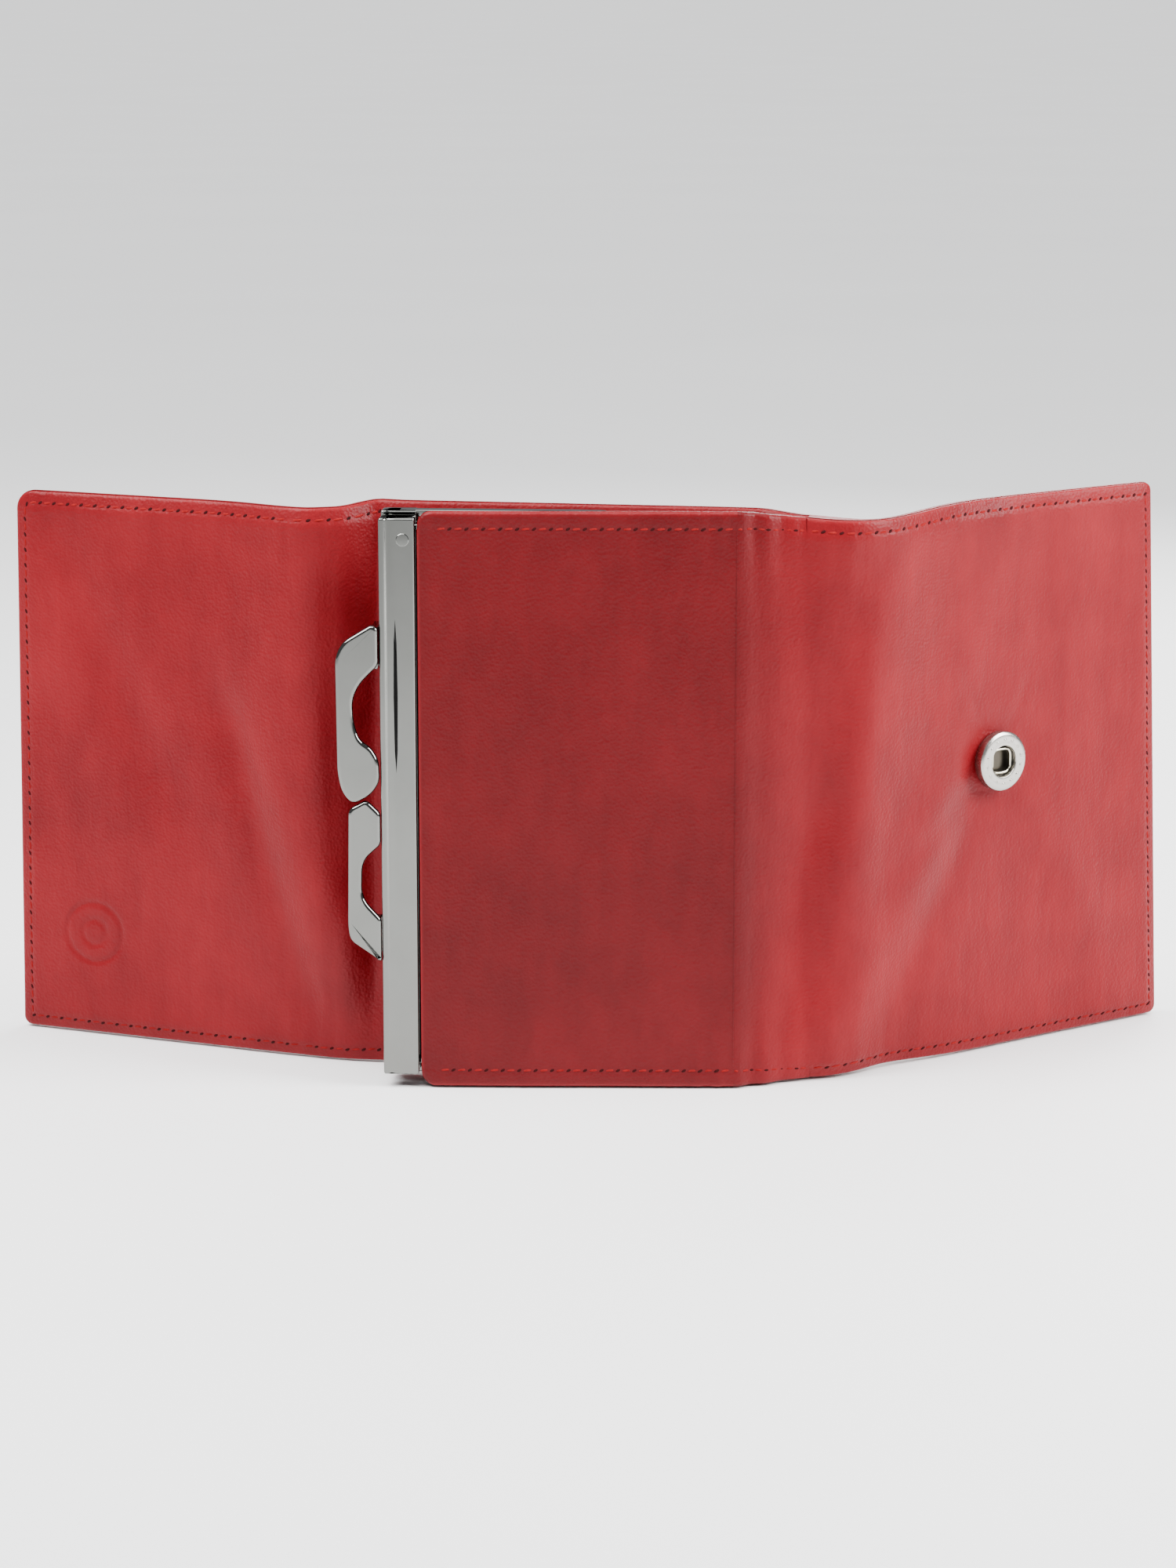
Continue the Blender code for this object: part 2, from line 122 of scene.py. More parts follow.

# Start and end of a zone beside the rivets: distances along the page from them, at one level.
MOUTH_ZONE = (6.5, -4.5)
MOUTH_LEVEL = -5.0
# The gussets: name, height and way of the fold; the zone runs from the rear level to the front one.
GUSSET_LEVELS = (("top", 89.0, -1.0), ("bottom", 6.8, 1.0))
GUSSET_DIP = 3.2
GUSSET_THICK = 0.45
GUSSET_U = -40.0
GUSSET_ZONE = (-REAR_WALL - 0.4, -5.9)
# Zones of the seam leather: past the pouch's right edge, and between two shares of its width. It is
# divided at the first share.
SEAM_ZONE = (0.75, 0.05)
BAND_ZONE = (0.14, 0.93)


# ---------------------------------------------------------------- frame


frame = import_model()
JOINTS = {joint["name"]: joint for joint in frame["joints"]}


def fold_line(name):
    x, y, _ = JOINTS[name]["pos_m"]
    return np.array([x, y]) / MM


def plate_points(node):
    return np.array([v.co for v in frame["nodes"][node].data.vertices]) / MM


def plate_end(node, fold):
    """The far end of a flat upright plate's middle line, and that line's direction, seen from its fold."""
    points = plate_points(node)[:, :2]
    along = points.mean(0) - fold
    along /= np.linalg.norm(along)
    return fold + along * ((points - fold) @ along).max(), along


LEFT_FOLD = fold_line("left_spine_fold")
LEFT_WING_FOLD = fold_line("left_wing_fold")
RIGHT_FOLD = fold_line("right_spine_fold")
RIGHT_WING_FOLD = fold_line("right_wing_fold")
LEFT_END, LEFT_WING_WAY = plate_end("left_wing_leather", LEFT_WING_FOLD)
RIGHT_END, RIGHT_WING_WAY = plate_end("right_wing_leather", RIGHT_WING_FOLD)
PAGE = fold_line("pouch_page_swing")
PAGE_TURN = radians(JOINTS["pouch_page_swing"]["range_deg"][1])
RIVET = fold_line("purse_mouth")

S_L1 = LEFT_FOLD[0]
S_L2 = S_L1 - hypot(*(LEFT_WING_FOLD - LEFT_FOLD))
S_L3 = S_L2 - hypot(*(LEFT_END - LEFT_WING_FOLD))
S_R1 = RIGHT_FOLD[0]
S_R2 = S_R1 + hypot(*(RIGHT_WING_FOLD - RIGHT_FOLD))
S_R3 = S_R2 + hypot(*(RIGHT_END - RIGHT_WING_FOLD))
MID_LEFT = (S_L1 + S_L2) / 2
MID_RIGHT = (S_R1 + S_R2) / 2


# ---------------------------------------------------------------- shape functions


def smooth(value, low, high):
    t = np.clip((np.asarray(value, float) - low) / (high - low), 0.0, 1.0)
    return t * t * (3 - 2 * t)


def bump(value, centre, width):
    return np.exp(-(((np.asarray(value, float) - centre) / width) ** 2))


def direction_of(a, b):
    way = b - a
    return np.arctan2(way[1], way[0])


def make_path():
    """Samples of the cover's middle line in plan: its direction turns softly at each fold."""
    s = np.arange(S_L3 - 6, S_R3 + 6, 0.1)
    leans = [
        (S_L2, direction_of(LEFT_END, LEFT_WING_FOLD), direction_of(LEFT_WING_FOLD, LEFT_FOLD)),
        (S_L1, direction_of(LEFT_WING_FOLD, LEFT_FOLD), 0.0),
        (S_R1, 0.0, direction_of(RIGHT_FOLD, RIGHT_WING_FOLD)),
        (S_R2, direction_of(RIGHT_FOLD, RIGHT_WING_FOLD), direction_of(RIGHT_WING_FOLD, RIGHT_END)),
    ]
    angle = np.full(s.shape, leans[0][1])
    for knot, before, after in leans:
        angle += (after - before) * smooth(s, knot - CREASE_SOFT, knot + CREASE_SOFT)
    steps = np.stack([np.cos(angle), np.sin(angle)], -1) * 0.1
    path = np.cumsum(steps, 0)
    middle = np.array([np.interp(0.0, s, path[:, i]) for i in (0, 1)])
    return s, path - middle


PATH_S, PATH = make_path()


def upper(z):
    return np.clip(z / SHELL_HEIGHT, 0.0, 1.0) ** 1.4


def lower(z):
    return np.clip(1 - z / SHELL_HEIGHT, 0.0, 1.0) ** 1.4


def left_crest(s, z):
    """The leather swells in front of the left spine and falls back behind the frame."""
    crest = S_L1 - 5.6 + 6.5 * (1 - smooth(z, 6.0, 45.0))
    away = s - crest
    width = np.where(away < 0, 9.5, 4.6)
    swell = 2.9 * smooth(z, -2.0, 24.0) * np.exp(-((away / width) ** 2))
    hollow = -1.5 * smooth(z, 0.0, 14.0) * bump(s, S_L1 + 4.4, 4.0)
    return swell + hollow


def right_valley(s, z):
    """The right-hand fold runs slantwise: late at the top edge, early at the bottom one."""
    middle = bump(z, 47.0, 38.0)
    crest = 41.5 + 0.13 * z
    wide = np.where(s < crest + 3.0, 4.5, 9.0)
    ridge = 1.5 * middle * np.exp(-(((s - crest - 3.0) / wide) ** 2))
    return ridge - 1.2 * middle * bump(s, crest - 5.5, 4.5)


def forward(s, z):
    """How far the slack leather stands in front of the flat panels."""
    left = 0.9 * upper(z) * (1.0 - smooth(s, S_L1, S_L1 + 7.0)) + left_crest(s, z)
    back = -upper(z) * 3.0 * smooth(s, S_L1, S_L1 + 8.0) * (1 - smooth(s, S_R1 - 2.4, S_R1 + 6.6))
    right = upper(z) * 4.4 * bump(s, S_R2 + 5.8, 11.5) - lower(z) * 2.8 * bump(s, S_R2 + 3.8, 13.0)
    bow = -1.0 * bump(s, S_R2 + 34.0, 24.0)
    return left + back + right + right_valley(s, z) + bow


def lift(s, z):
    """How far the leather's height gives at the folds."""
    top = upper(z) * (-0.45 * (1 - smooth(s, -36.0, -29.0)) - 0.85 * bump(s, 55.0, 11.5))
    back = upper(z) * 0.3 * smooth(s, -36.0, -29.0) * (1 - smooth(s, 33.0, 42.0))
    return top + back + lower(z) * 0.4 * bump(s, 53.0, 13.0)


def flare(s, z):
    """The outer ends lean out a little towards the bottom edge."""
    high = z / SHELL_HEIGHT
    right = (2.2 - 4.8 * high) * np.clip((s - S_R2) / (S_R3 - S_R2), 0, 1.2)
    left = (-1.1 + 1.9 * high) * np.clip((S_L2 - s) / (S_L2 - S_L3), 0, 1.2)
    return right + left


def middle_line(s, z):
    along = s + flare(s, z)
    x = np.interp(along, PATH_S, PATH[:, 0])
    y = np.interp(along, PATH_S, PATH[:, 1])
    return np.stack([x, y - forward(s, z), z + lift(s, z)], -1)


def surface(s, z, offset):
    """Points at an offset from the cover's middle line, towards the inside."""
    s, z, offset = np.broadcast_arrays(*(np.asarray(a, float) for a in (s, z, offset)))
    h = 0.25
    run = middle_line(s + h, z) - middle_line(s - h, z)
    rise = middle_line(s, z + h) - middle_line(s, z - h)
    normal = np.cross(run, rise)
    normal /= np.linalg.norm(normal, axis=-1, keepdims=True)
    return middle_line(s, z) + normal * offset[..., None]


def round_edge(d, radius):
    t = np.clip(1 - d / radius, 0.0, 1.0)
    return radius * (1 - np.sqrt(1 - t * t))


# ---------------------------------------------------------------- grids


def spaced(low, high, step):
    count = max(2, int(round((high - low) / step)) + 1)
    return np.linspace(low, high, count)


def lines(low, high, edge_low, edge_high, fine=()):
    """Grid lines from low to high, closer together at free edges and inside the fine spans."""
    marks = []
    start, end = low, high
    if edge_low:
        marks += [low + d for d in EDGE_LINES]
        start = low + EDGE_LINES[-1]
    if edge_high:
        marks += [high - d for d in EDGE_LINES]
        end = high - EDGE_LINES[-1]
    marks += list(spaced(start, end, GRID_STEP))
    for a, b, close in fine:
        a, b = max(a, start), min(b, end)
        if b > a:
            marks = [m for m in marks if not a < m < b] + list(spaced(a, b, close))
    marks = sorted(marks)
    kept = [marks[0]]
    for mark in marks[1:]:
        if mark - kept[-1] > 0.03:
            kept.append(mark)
    return np.array(kept)


class Patch:
    """A grid over a rectangle of the sheet, with its free edges rounded at the corners.

    free says which edges are free: left, right, bottom and top. d is the distance to the nearest one.
    """

    def __init__(self, span, levels, free, radii=None, inset=0.0, fine_s=(), fine_z=()):
        left, right, bottom, top = free
        s0, s1 = span
        z0, z1 = levels
        s0, s1 = s0 + inset * left, s1 - inset * right
        z0, z1 = z0 + inset * bottom, z1 - inset * top
        s_marks = lines(s0, s1, left, right, fine_s)
        z_marks = lines(z0, z1, bottom, top, fine_z)
        s, z = np.meshgrid(s_marks, z_marks, indexing="ij")
        d = np.full(s.shape, 1e3)
        for is_free, gap in ((left, s - s0), (right, s1 - s), (bottom, z - z0), (top, z1 - z)):
            if is_free:
                d = np.minimum(d, gap)
        for (at_right, at_top), radius in (radii or {}).items():
            radius = max(radius - inset, 0.5)
            cs, way_s = (s1 - radius, 1) if at_right else (s0 + radius, -1)
            cz, way_z = (z1 - radius, 1) if at_top else (z0 + radius, -1)
            a = np.clip((s - cs) * way_s / radius, 0, 1)
            b = np.clip((z - cz) * way_z / radius, 0, 1)
            inside = (a > 0) & (b > 0)
            a2 = a * np.sqrt(1 - b * b / 2)
            b2 = b * np.sqrt(1 - a * a / 2)
            s = np.where(inside, cs + way_s * radius * a2, s)
            z = np.where(inside, cz + way_z * radius * b2, z)
            d = np.where(inside, radius * (1 - np.hypot(a2, b2)), d)
        self.s, self.z, self.d = s, z, np.maximum(d, 0.0)


def grid_faces(rows, columns, base, flip):
    i, j = np.meshgrid(np.arange(rows - 1), np.arange(columns - 1), indexing="ij")
    a = base + i * columns + j
    quads = np.stack([a, a + columns, a + columns + 1, a + 1], -1).reshape(-1, 4)
    return quads[:, ::-1] if flip else quads


def closed_sheet(name, front, back, look, wear=None, painted_shade=None):
    """A closed solid between two grids of points; wear and the darkening of painted shade are values for
    each front point.
    """
    rows, columns = front.shape[:2]
    count = rows * columns
    points = np.concatenate([front.reshape(-1, 3), back.reshape(-1, 3)]) * MM
    faces = [tuple(q) for q in grid_faces(rows, columns, 0, False)]
    faces += [tuple(q) for q in grid_faces(rows, columns, count, True)]
    rim = [i * columns for i in range(rows)]
    rim += [(rows - 1) * columns + j for j in range(1, columns)]
    rim += [i * columns + columns - 1 for i in range(rows - 2, -1, -1)]
    rim += [j for j in range(columns - 2, 0, -1)]
    for a, b in zip(rim, rim[1:] + rim[:1]):
        faces.append((b, a, a + count, b + count))
    obj = mesh_object(name, points, faces, look)
    for key, given in (("wear", wear), ("painted_shade", painted_shade)):
        values = np.zeros(2 * count, np.float32)
        if given is not None:
            values[:count] = np.broadcast_to(given, front.shape[:2]).ravel()
        obj.data.attributes.new(key, "FLOAT", "POINT").data.foreach_set("value", values)
    return obj


def add_object(name, data):
    obj = bpy.data.objects.new(name, data)
    bpy.context.scene.collection.objects.link(obj)
    return obj


def mesh_object(name, points, faces, look, sharp=40.0, flat_faces=False):
    """A shaded mesh; flat_faces keeps large faces flat and leaves the turn to the small ones."""
    mesh = bpy.data.meshes.new(name)
    mesh.from_pydata([tuple(p) for p in points], [], faces)
    bm = bmesh.new()
    bm.from_mesh(mesh)
    bmesh.ops.recalc_face_normals(bm, faces=bm.faces)
    bm.to_mesh(mesh)
    bm.free()
    mesh.shade_smooth()
    mesh.set_sharp_from_angle(angle=radians(sharp))
    mesh.materials.append(look)
    obj = add_object(name, mesh)
    if flat_faces:
        weigh = obj.modifiers.new("flat_faces", "WEIGHTED_NORMAL")
        weigh.keep_sharp = True
        weigh.weight = 100
    return obj


def join_meshes(name, parts, looks):
    """One object from several lists of points and faces, each with the number of its material."""
    points, faces, numbers = [], [], []
    for part_points, part_faces, number in parts:
        base = len(points)
        points += [tuple(p) for p in part_points]
        faces += [tuple(base + i for i in face) for face in part_faces]
        numbers += [number] * len(part_faces)
    mesh = bpy.data.meshes.new(name)
    mesh.from_pydata([tuple(np.array(p) * MM) for p in points], [], faces)
    mesh.shade_smooth()
    for look in looks:
        mesh.materials.append(look)
    mesh.polygons.foreach_set("material_index", numbers)
    return add_object(name, mesh)


# ---------------------------------------------------------------- materials


def new_material(name, colour, roughness, metallic=0.0):
    made = bpy.data.materials.new(name)
    made.use_nodes = True
    tree = made.node_tree
    shader = tree.nodes["Principled BSDF"]
    shader.inputs["Base Color"].default_value = (*colour, 1.0)
    shader.inputs["Roughness"].default_value = roughness
    shader.inputs["Metallic"].default_value = metallic
    return made, tree, shader


def node(tree, kind, **values):
    made = tree.nodes.new(kind)
    for key, value in values.items():
        if key in made.inputs:
            made.inputs[key].default_value = value
        else:
            setattr(made, key, value)
    return made


def join(tree, shader, **values):
    """Wires values into the shader's sockets; an underscore stands for a space."""
    for key, value in values.items():
        tree.links.new(value, shader.inputs[key.replace("_", " ")])


def place(tree):
    return tree.nodes.new("ShaderNodeTexCoord").outputs["Object"]


def noise(tree, where, scale, detail=3.0, rough=0.5):
    made = node(tree, "ShaderNodeTexNoise", Scale=scale, Detail=detail, Roughness=rough)
    tree.links.new(where, made.inputs["Vector"])
    return made.outputs["Fac"]


def ramp(tree, value, stops):
    made = tree.nodes.new("ShaderNodeValToRGB")
    elements = made.color_ramp.elements
    for element, (position, colour) in zip(elements, (stops[0], stops[-1])):
        element.position = position
        element.color = (*colour, 1.0)
    for position, colour in stops[1:-1]:
        element = elements.new(position)
        element.color = (*colour, 1.0)
    tree.links.new(value, made.inputs["Fac"])
    return made.outputs["Color"]


def mix_colour(tree, factor, first, second, blend="MIX"):
    made = tree.nodes.new("ShaderNodeMix")
    made.data_type = "RGBA"
    made.blend_type = blend
    for key, value in ((0, factor), (6, first), (7, second)):
        if isinstance(value, bpy.types.NodeSocket):
            tree.links.new(value, made.inputs[key])
        elif key == 0:
            made.inputs[key].default_value = value
        else:
            made.inputs[key].default_value = (*value, 1.0)
    return made.outputs[2]


def bump_node(tree, height, strength, distance, normal=None):
    made = node(tree, "ShaderNodeBump", Strength=strength, Distance=distance)
    tree.links.new(height, made.inputs["Height"])
    if normal is not None:
        tree.links.new(normal, made.inputs["Normal"])
    return made.outputs["Normal"]


def map_range(tree, value, low, high):
    made = node(tree, "ShaderNodeMapRange")
    made.inputs["To Min"].default_value = low
    made.inputs["To Max"].default_value = high
    tree.links.new(value, made.inputs["Value"])
    return made.outputs["Result"]


def leather(name, reds, roughness, gloss):
    """Smooth nappa: faint pebble grain and pores, cloudy dye, polish on the worn edges, and painted shade
    where the painted_shade attribute is set.
    """
    deep, mid, light = reds
    made, tree, shader = new_material(name, mid, roughness)
    where = place(tree)
    cloud = noise(tree, where, 42.0, 5.0, 0.6)
    stretched = node(tree, "ShaderNodeMapping")
    stretched.inputs["Scale"].default_value = (1.0, 1.0, 0.3)
    tree.links.new(where, stretched.inputs["Vector"])
    streak = noise(tree, stretched.outputs["Vector"], 260.0, 4.0, 0.65)
    dyed = ramp(tree, cloud, [(0.3, deep), (0.52, mid), (0.75, light)])
    mottled = mix_colour(tree, 0.3, dyed, ramp(tree, streak, [(0.3, deep), (0.7, light)]))
    # Painted shade: where this attribute is 1, the dyed colour is multiplied darker.
    painted_shade = node(tree, "ShaderNodeAttribute", attribute_name="painted_shade").outputs["Fac"]
    shaded_copy = mix_colour(tree, 1.0, mottled, (0.61, 0.57, 0.57), "MULTIPLY")
    darker = mix_colour(tree, painted_shade, mottled, shaded_copy)
    wear = node(tree, "ShaderNodeAttribute", attribute_name="wear").outputs["Fac"]
    worn = mix_colour(tree, wear, darker, tuple(min(1.0, c * 1.7 + 0.004) for c in light))
    polish = map_range(tree, cloud, roughness - 0.06, roughness + 0.08)
    shader.inputs["Specular IOR Level"].default_value = gloss
    cells = node(tree, "ShaderNodeTexVoronoi", Scale=2100.0, feature="SMOOTH_F1", Smoothness=0.5)
    tree.links.new(where, cells.inputs["Vector"])
    soft = bump_node(tree, streak, 0.4, 0.0005)
    grain = bump_node(tree, cells.outputs["Distance"], 0.4, 0.00016, soft)
    join(tree, shader, Base_Color=worn, Roughness=polish, Normal=grain)
    return made


def woven(name, first, second):
    """Plain weave lining: crossing threads in two close shades."""
    made, tree, shader = new_material(name, first, 0.8)
    where = place(tree)
    waves = []
    for way in ("X", "Z"):
        wave = node(tree, "ShaderNodeTexWave", Scale=420.0, Distortion=0.4, bands_direction=way)
        tree.links.new(where, wave.inputs["Vector"])
        waves.append(wave.outputs["Fac"])
    product = node(tree, "ShaderNodeMath", operation="MULTIPLY")
    tree.links.new(waves[0], product.inputs[0])
    tree.links.new(waves[1], product.inputs[1])
    colour = ramp(tree, product.outputs[0], [(0.1, first), (0.8, second)])
    join(tree, shader, Base_Color=colour, Normal=bump_node(tree, product.outputs[0], 0.5, 0.0002))
    shader.inputs["Sheen Weight"].default_value = 0.3
    return made


def metal(name, colour, roughness, uneven):
    """Plated metal with a faint uneven polish."""
    made, tree, shader = new_material(name, colour, roughness, 1.0)
    where = place(tree)
    cloud = noise(tree, where, 90.0, 4.0, 0.6)
    dull = tuple(c * 0.9 for c in colour)
    shade = ramp(tree, cloud, [(0.3, dull), (0.7, colour)])
    fine = noise(tree, where, 900.0, 3.0, 0.6)
    polish = map_range(tree, fine, max(roughness - uneven, 0.02), roughness + uneven)
    join(tree, shader, Base_Color=shade, Roughness=polish, Normal=bump_node(tree, cloud, 0.03, 0.0003))
    return made


def fibrous(name, first, second, scale):
    """Board or paper: short fibres in two tones."""
    made, tree, shader = new_material(name, first, 0.9)
    shader.inputs["Specular IOR Level"].default_value = 0.12
    where = place(tree)
    fibres = noise(tree, where, scale, 6.0, 0.7)
    shade = ramp(tree, fibres, [(0.35, first), (0.65, second)])
    join(tree, shader, Base_Color=shade, Normal=bump_node(tree, fibres, 0.4, 0.0002))
    return made


SHELL_REDS = ((0.1, 0.0012, 0.003), (0.14, 0.0025, 0.005), (0.18, 0.005, 0.008))
INSIDE_REDS = ((0.115, 0.0015, 0.004), (0.155, 0.003, 0.006), (0.2, 0.006, 0.01))
# The pouch's reds are the inside reds darkened by about a third: painted shade.
SHADED_POUCH_REDS = ((0.078, 0.0008, 0.002), (0.105, 0.0013, 0.003), (0.135, 0.002, 0.005))


def make_looks():
    return {
        "shell": leather("shell_leather", SHELL_REDS, 0.42, 0.2),
        "inside": leather("inside_leather", INSIDE_REDS, 0.42, 0.15),
        "pouch": leather("pouch_leather", SHADED_POUCH_REDS, 0.44, 0.15),
        "lining": woven("pouch_lining", (0.05, 0.016, 0.02), (0.1, 0.03, 0.035)),
        "thread": fibrous("sewing_thread", (0.16, 0.003, 0.004), (0.24, 0.008, 0.009), 1500.0),
        # Needle holes: a near-black red for the lenses that stand for the holes, painted shade.
        "painted_hole_shade": fibrous("needle_hole_painted_shade", (0.02, 0.0008, 0.001), (0.034, 0.0012, 0.002), 900.0),
        "board": fibrous("stiffener_board", (0.34, 0.29, 0.23), (0.46, 0.4, 0.32), 700.0),
        "paper": fibrous("paper_cord", (0.5, 0.45, 0.36), (0.66, 0.6, 0.5), 1200.0),
        "chrome": metal("frame_nickel", (0.17, 0.173, 0.163), 0.06, 0.02),
        "satin": metal("snap_nickel", (0.42, 0.4, 0.37), 0.26, 0.05),
        "brass": metal("snap_brass", (0.3, 0.22, 0.12), 0.3, 0.05),
        "wire": metal("spring_wire", (0.45, 0.42, 0.34), 0.18, 0.03),
        "shadow": metal("slit_painted_shadow", (0.008, 0.008, 0.008), 0.35, 0.03),
        # The snap socket's well floor: a metal darkened with painted shade of the recess.
        "floor": metal("socket_floor_painted_shade", (0.08, 0.07, 0.055), 0.35, 0.03),
    }


# ---------------------------------------------------------------- cover and linings


SNAP_NODE = plate_points("snap_socket")
SNAP_S = S_R2 + float((SNAP_NODE[:, :2].mean(0) - RIGHT_WING_FOLD) @ RIGHT_WING_WAY)
SNAP_Z = float((SNAP_NODE[:, 2].max() + SNAP_NODE[:, 2].min()) / 2)

MOTIF_S = S_L3 + 14.2
MOTIF_Z = 18.0
MOTIF_SPAN = 6.8
# Radius, depth and width of each pressed ring.
MOTIF_RINGS = ((5.2, 0.28, 0.42), (2.2, 0.24, 0.5))


def motif(s, z):
    """A plain pressed ring round a smaller one."""
    reach = np.hypot(s - MOTIF_S, z - MOTIF_Z)
    return -sum(depth * bump(reach, radius, width) for radius, depth, width in MOTIF_RINGS)


def along_line(s, z, start, end, width):
    """1 along a line from start to end, fading to 0 over the width."""
    start, end = np.array(start, float), np.array(end, float)
    way = end - start
    length = np.linalg.norm(way)
    way = way / length
    u, v = s - start[0], z - start[1]
    along = u * way[0] + v * way[1]
    across = v * way[0] - u * way[1]
    past = np.maximum(np.maximum(-along, along - length), 0.0)
    return np.exp(-(((across**2) / width**2) + (past**2) / (2.2 * width) ** 2))


# Creases that run out from the snap: direction in degrees, reach, width, height.
SNAP_CREASES = (
    (120, 15, 0.9, -0.2), (62, 13, 0.9, -0.16), (215, 22, 2.6, -0.4), (-55, 30, 4.0, 0.35),
    (150, 20, 3.0, 0.3),
)


def snap_pull(s, z):
    """The leather dips under the snap, and creases run out from it."""
    reach = np.hypot(s - SNAP_S, z - SNAP_Z)
    folds = -0.3 * bump(reach, 6.2, 2.2)
    for angle, length, width, height in SNAP_CREASES:
        way = np.array([cos(radians(angle)), sin(radians(angle))])
        middle = np.array([SNAP_S, SNAP_Z])
        folds = folds + height * along_line(s, z, middle + 6.5 * way, middle + length * way, width)
    return folds


# Soft folds in the inside leather: start and end as (along, up), width, height.
FOLDS = (
    ((-83.0, 80.0), (-70.0, 50.0), 5.0, -0.55),
    ((-74.0, 74.0), (-52.0, 30.0), 6.0, 0.15),
    ((-54.0, 56.0), (-41.0, 12.0), 3.4, -0.95),
    ((-60.0, 52.0), (-47.0, 10.0), 4.2, 0.1),
    ((47.5, 10.0), (64.0, 40.0), 5.0, 0.8),
    ((64.0, 40.0), (76.0, 82.0), 5.5, 0.5),
    ((73.0, 40.0), (60.0, 16.0), 3.4, -0.5),
    ((90.0, 86.0), (89.0, 60.0), 5.0, -0.4),
    ((92.0, 38.0), (103.0, 8.0), 6.0, 0.4),
    ((104.0, 80.0), (106.0, 50.0), 6.0, -0.25),
    ((52.0, 84.0), (46.5, 45.0), 3.2, -0.6),
    ((46.5, 45.0), (44.5, 18.0), 3.0, -0.6),
)


def relief(s, z):
    """Height of the small forms on the inside leather of the cover."""
    high = z / SHELL_HEIGHT
    waves = 0.14 * np.sin(s * 0.19 + z * 0.071) * np.sin(z * 0.043 - 0.6)
    creases = -0.12 * bump(s, S_L1 - 1.0 - 1.5 * high, 0.8)
    near_edge = bump(z, 2.0, 11.0) + 0.8 * bump(z, SHELL_HEIGHT - 2.0, 8.0)
    pucker = 0.1 * np.sin(s * 2.1 + 0.4 * np.sin(z * 0.4)) * bump(s, S_L1 - 3.6, 7.0) * near_edge
    right_pucker = 0.12 * np.sin(s * 1.7 - 0.5) * bump(s, S_R2 - 2.2, 6.5) * near_edge
    soft = 0.0
    for start, end, width, height in FOLDS:
        soft = soft + height * along_line(s, z, start, end, width)
    return waves + creases + pucker + right_pucker + soft + motif(s, z) + snap_pull(s, z)


def band_join(s):
    """Extra height of the wing's inside leather where the pouch's front leather runs into it."""
    return 1.9 * (1 - smooth(s, MID_RIGHT, MID_RIGHT + 13.0))


def groove(d, depth):
    """The line the stitches pull into the leather."""
    return depth * bump(d, STITCH_LINE, 0.45)


def edge_drop(d):
    """How much the inside face sinks towards a free edge, where the leather is pared thin."""
    drop = (LINING_FACE - EDGE_FACE) * (1 - smooth(d, 0.0, EDGE_SOFT))
    return drop + round_edge(d, EDGE_ROUND) + groove(d, 0.07)


def inner_face(s, z, d, joined):
    face = LINING_FACE - edge_drop(d) + relief(s, z) * smooth(d, 0.5, 3.0)
    return face + band_join(s) if joined else face


def cover_offsets(patch, joined):
    d = patch.d
    outer = OUTER_FACE + round_edge(d, EDGE_ROUND) + groove(d, 0.06)
    seam = EDGE_SEAM + (band_join(patch.s) if joined else 0.0)
    inner = np.where(d < 0.45, seam, COVER_HIDDEN)
    return outer, inner


def cover_wear(patch):
    return 0.35 * bump(patch.d, 0.2, 0.35)


def cover_piece(name, patch, look):
    outer, inner = cover_offsets(patch, name == "cover_right_wing")
    front = surface(patch.s, patch.z, outer)
    back = surface(patch.s, patch.z, inner)
    return closed_sheet(name, front, back, look, cover_wear(patch))


def lining_piece(name, patch, look, joined=False):
    d = patch.d + LINING_INSET
    face = inner_face(patch.s, patch.z, d, joined)
    back = np.where(d < 0.5, EDGE_SEAM, LINING_BACK)
    if joined:
        back = np.maximum(back, face - 0.9)
    back = np.minimum(back, face - 0.25)
    front_points = surface(patch.s, patch.z, face)
    back_points = surface(patch.s, patch.z, back)
    return closed_sheet(name, front_points, back_points, look, 0.2 * bump(d, 0.1, 0.35))


def board_piece(name, span, free, look):
    left, right = free
    s = spaced(span[0] + BOARD_INSET * left, span[1] - BOARD_INSET * right, 2.5)
    z = spaced(BOARD_INSET, SHELL_HEIGHT - BOARD_INSET, 3.0)
    s, z = np.meshgrid(s, z, indexing="ij")
    return closed_sheet(name, surface(s, z, BOARD_FACES[0]), surface(s, z, BOARD_FACES[1]), look)


def flat_point(s):
    """A point on the cover's middle line at mid height, in metres."""
    x = np.interp(s, PATH_S, PATH[:, 0])
    y = np.interp(s, PATH_S, PATH[:, 1])
    return Vector((x * MM, y * MM, MID_HEIGHT * MM))


LEFT_WING_ZONE = (MID_LEFT - 1.0, S_L2 - 6.9)
LEFT_BACK_ZONE = (S_L1 + 6.0, MID_LEFT + 1.0)
RIGHT_BACK_ZONE = (S_R1 - 6.0, MID_RIGHT - 1.2)
RIGHT_WING_ZONE = (MID_RIGHT + 1.2, S_R2 + 7.5)


def bend(piece, first, second, zone):
    flat_point(zone[0])
    flat_point(zone[1])
    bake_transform(piece)


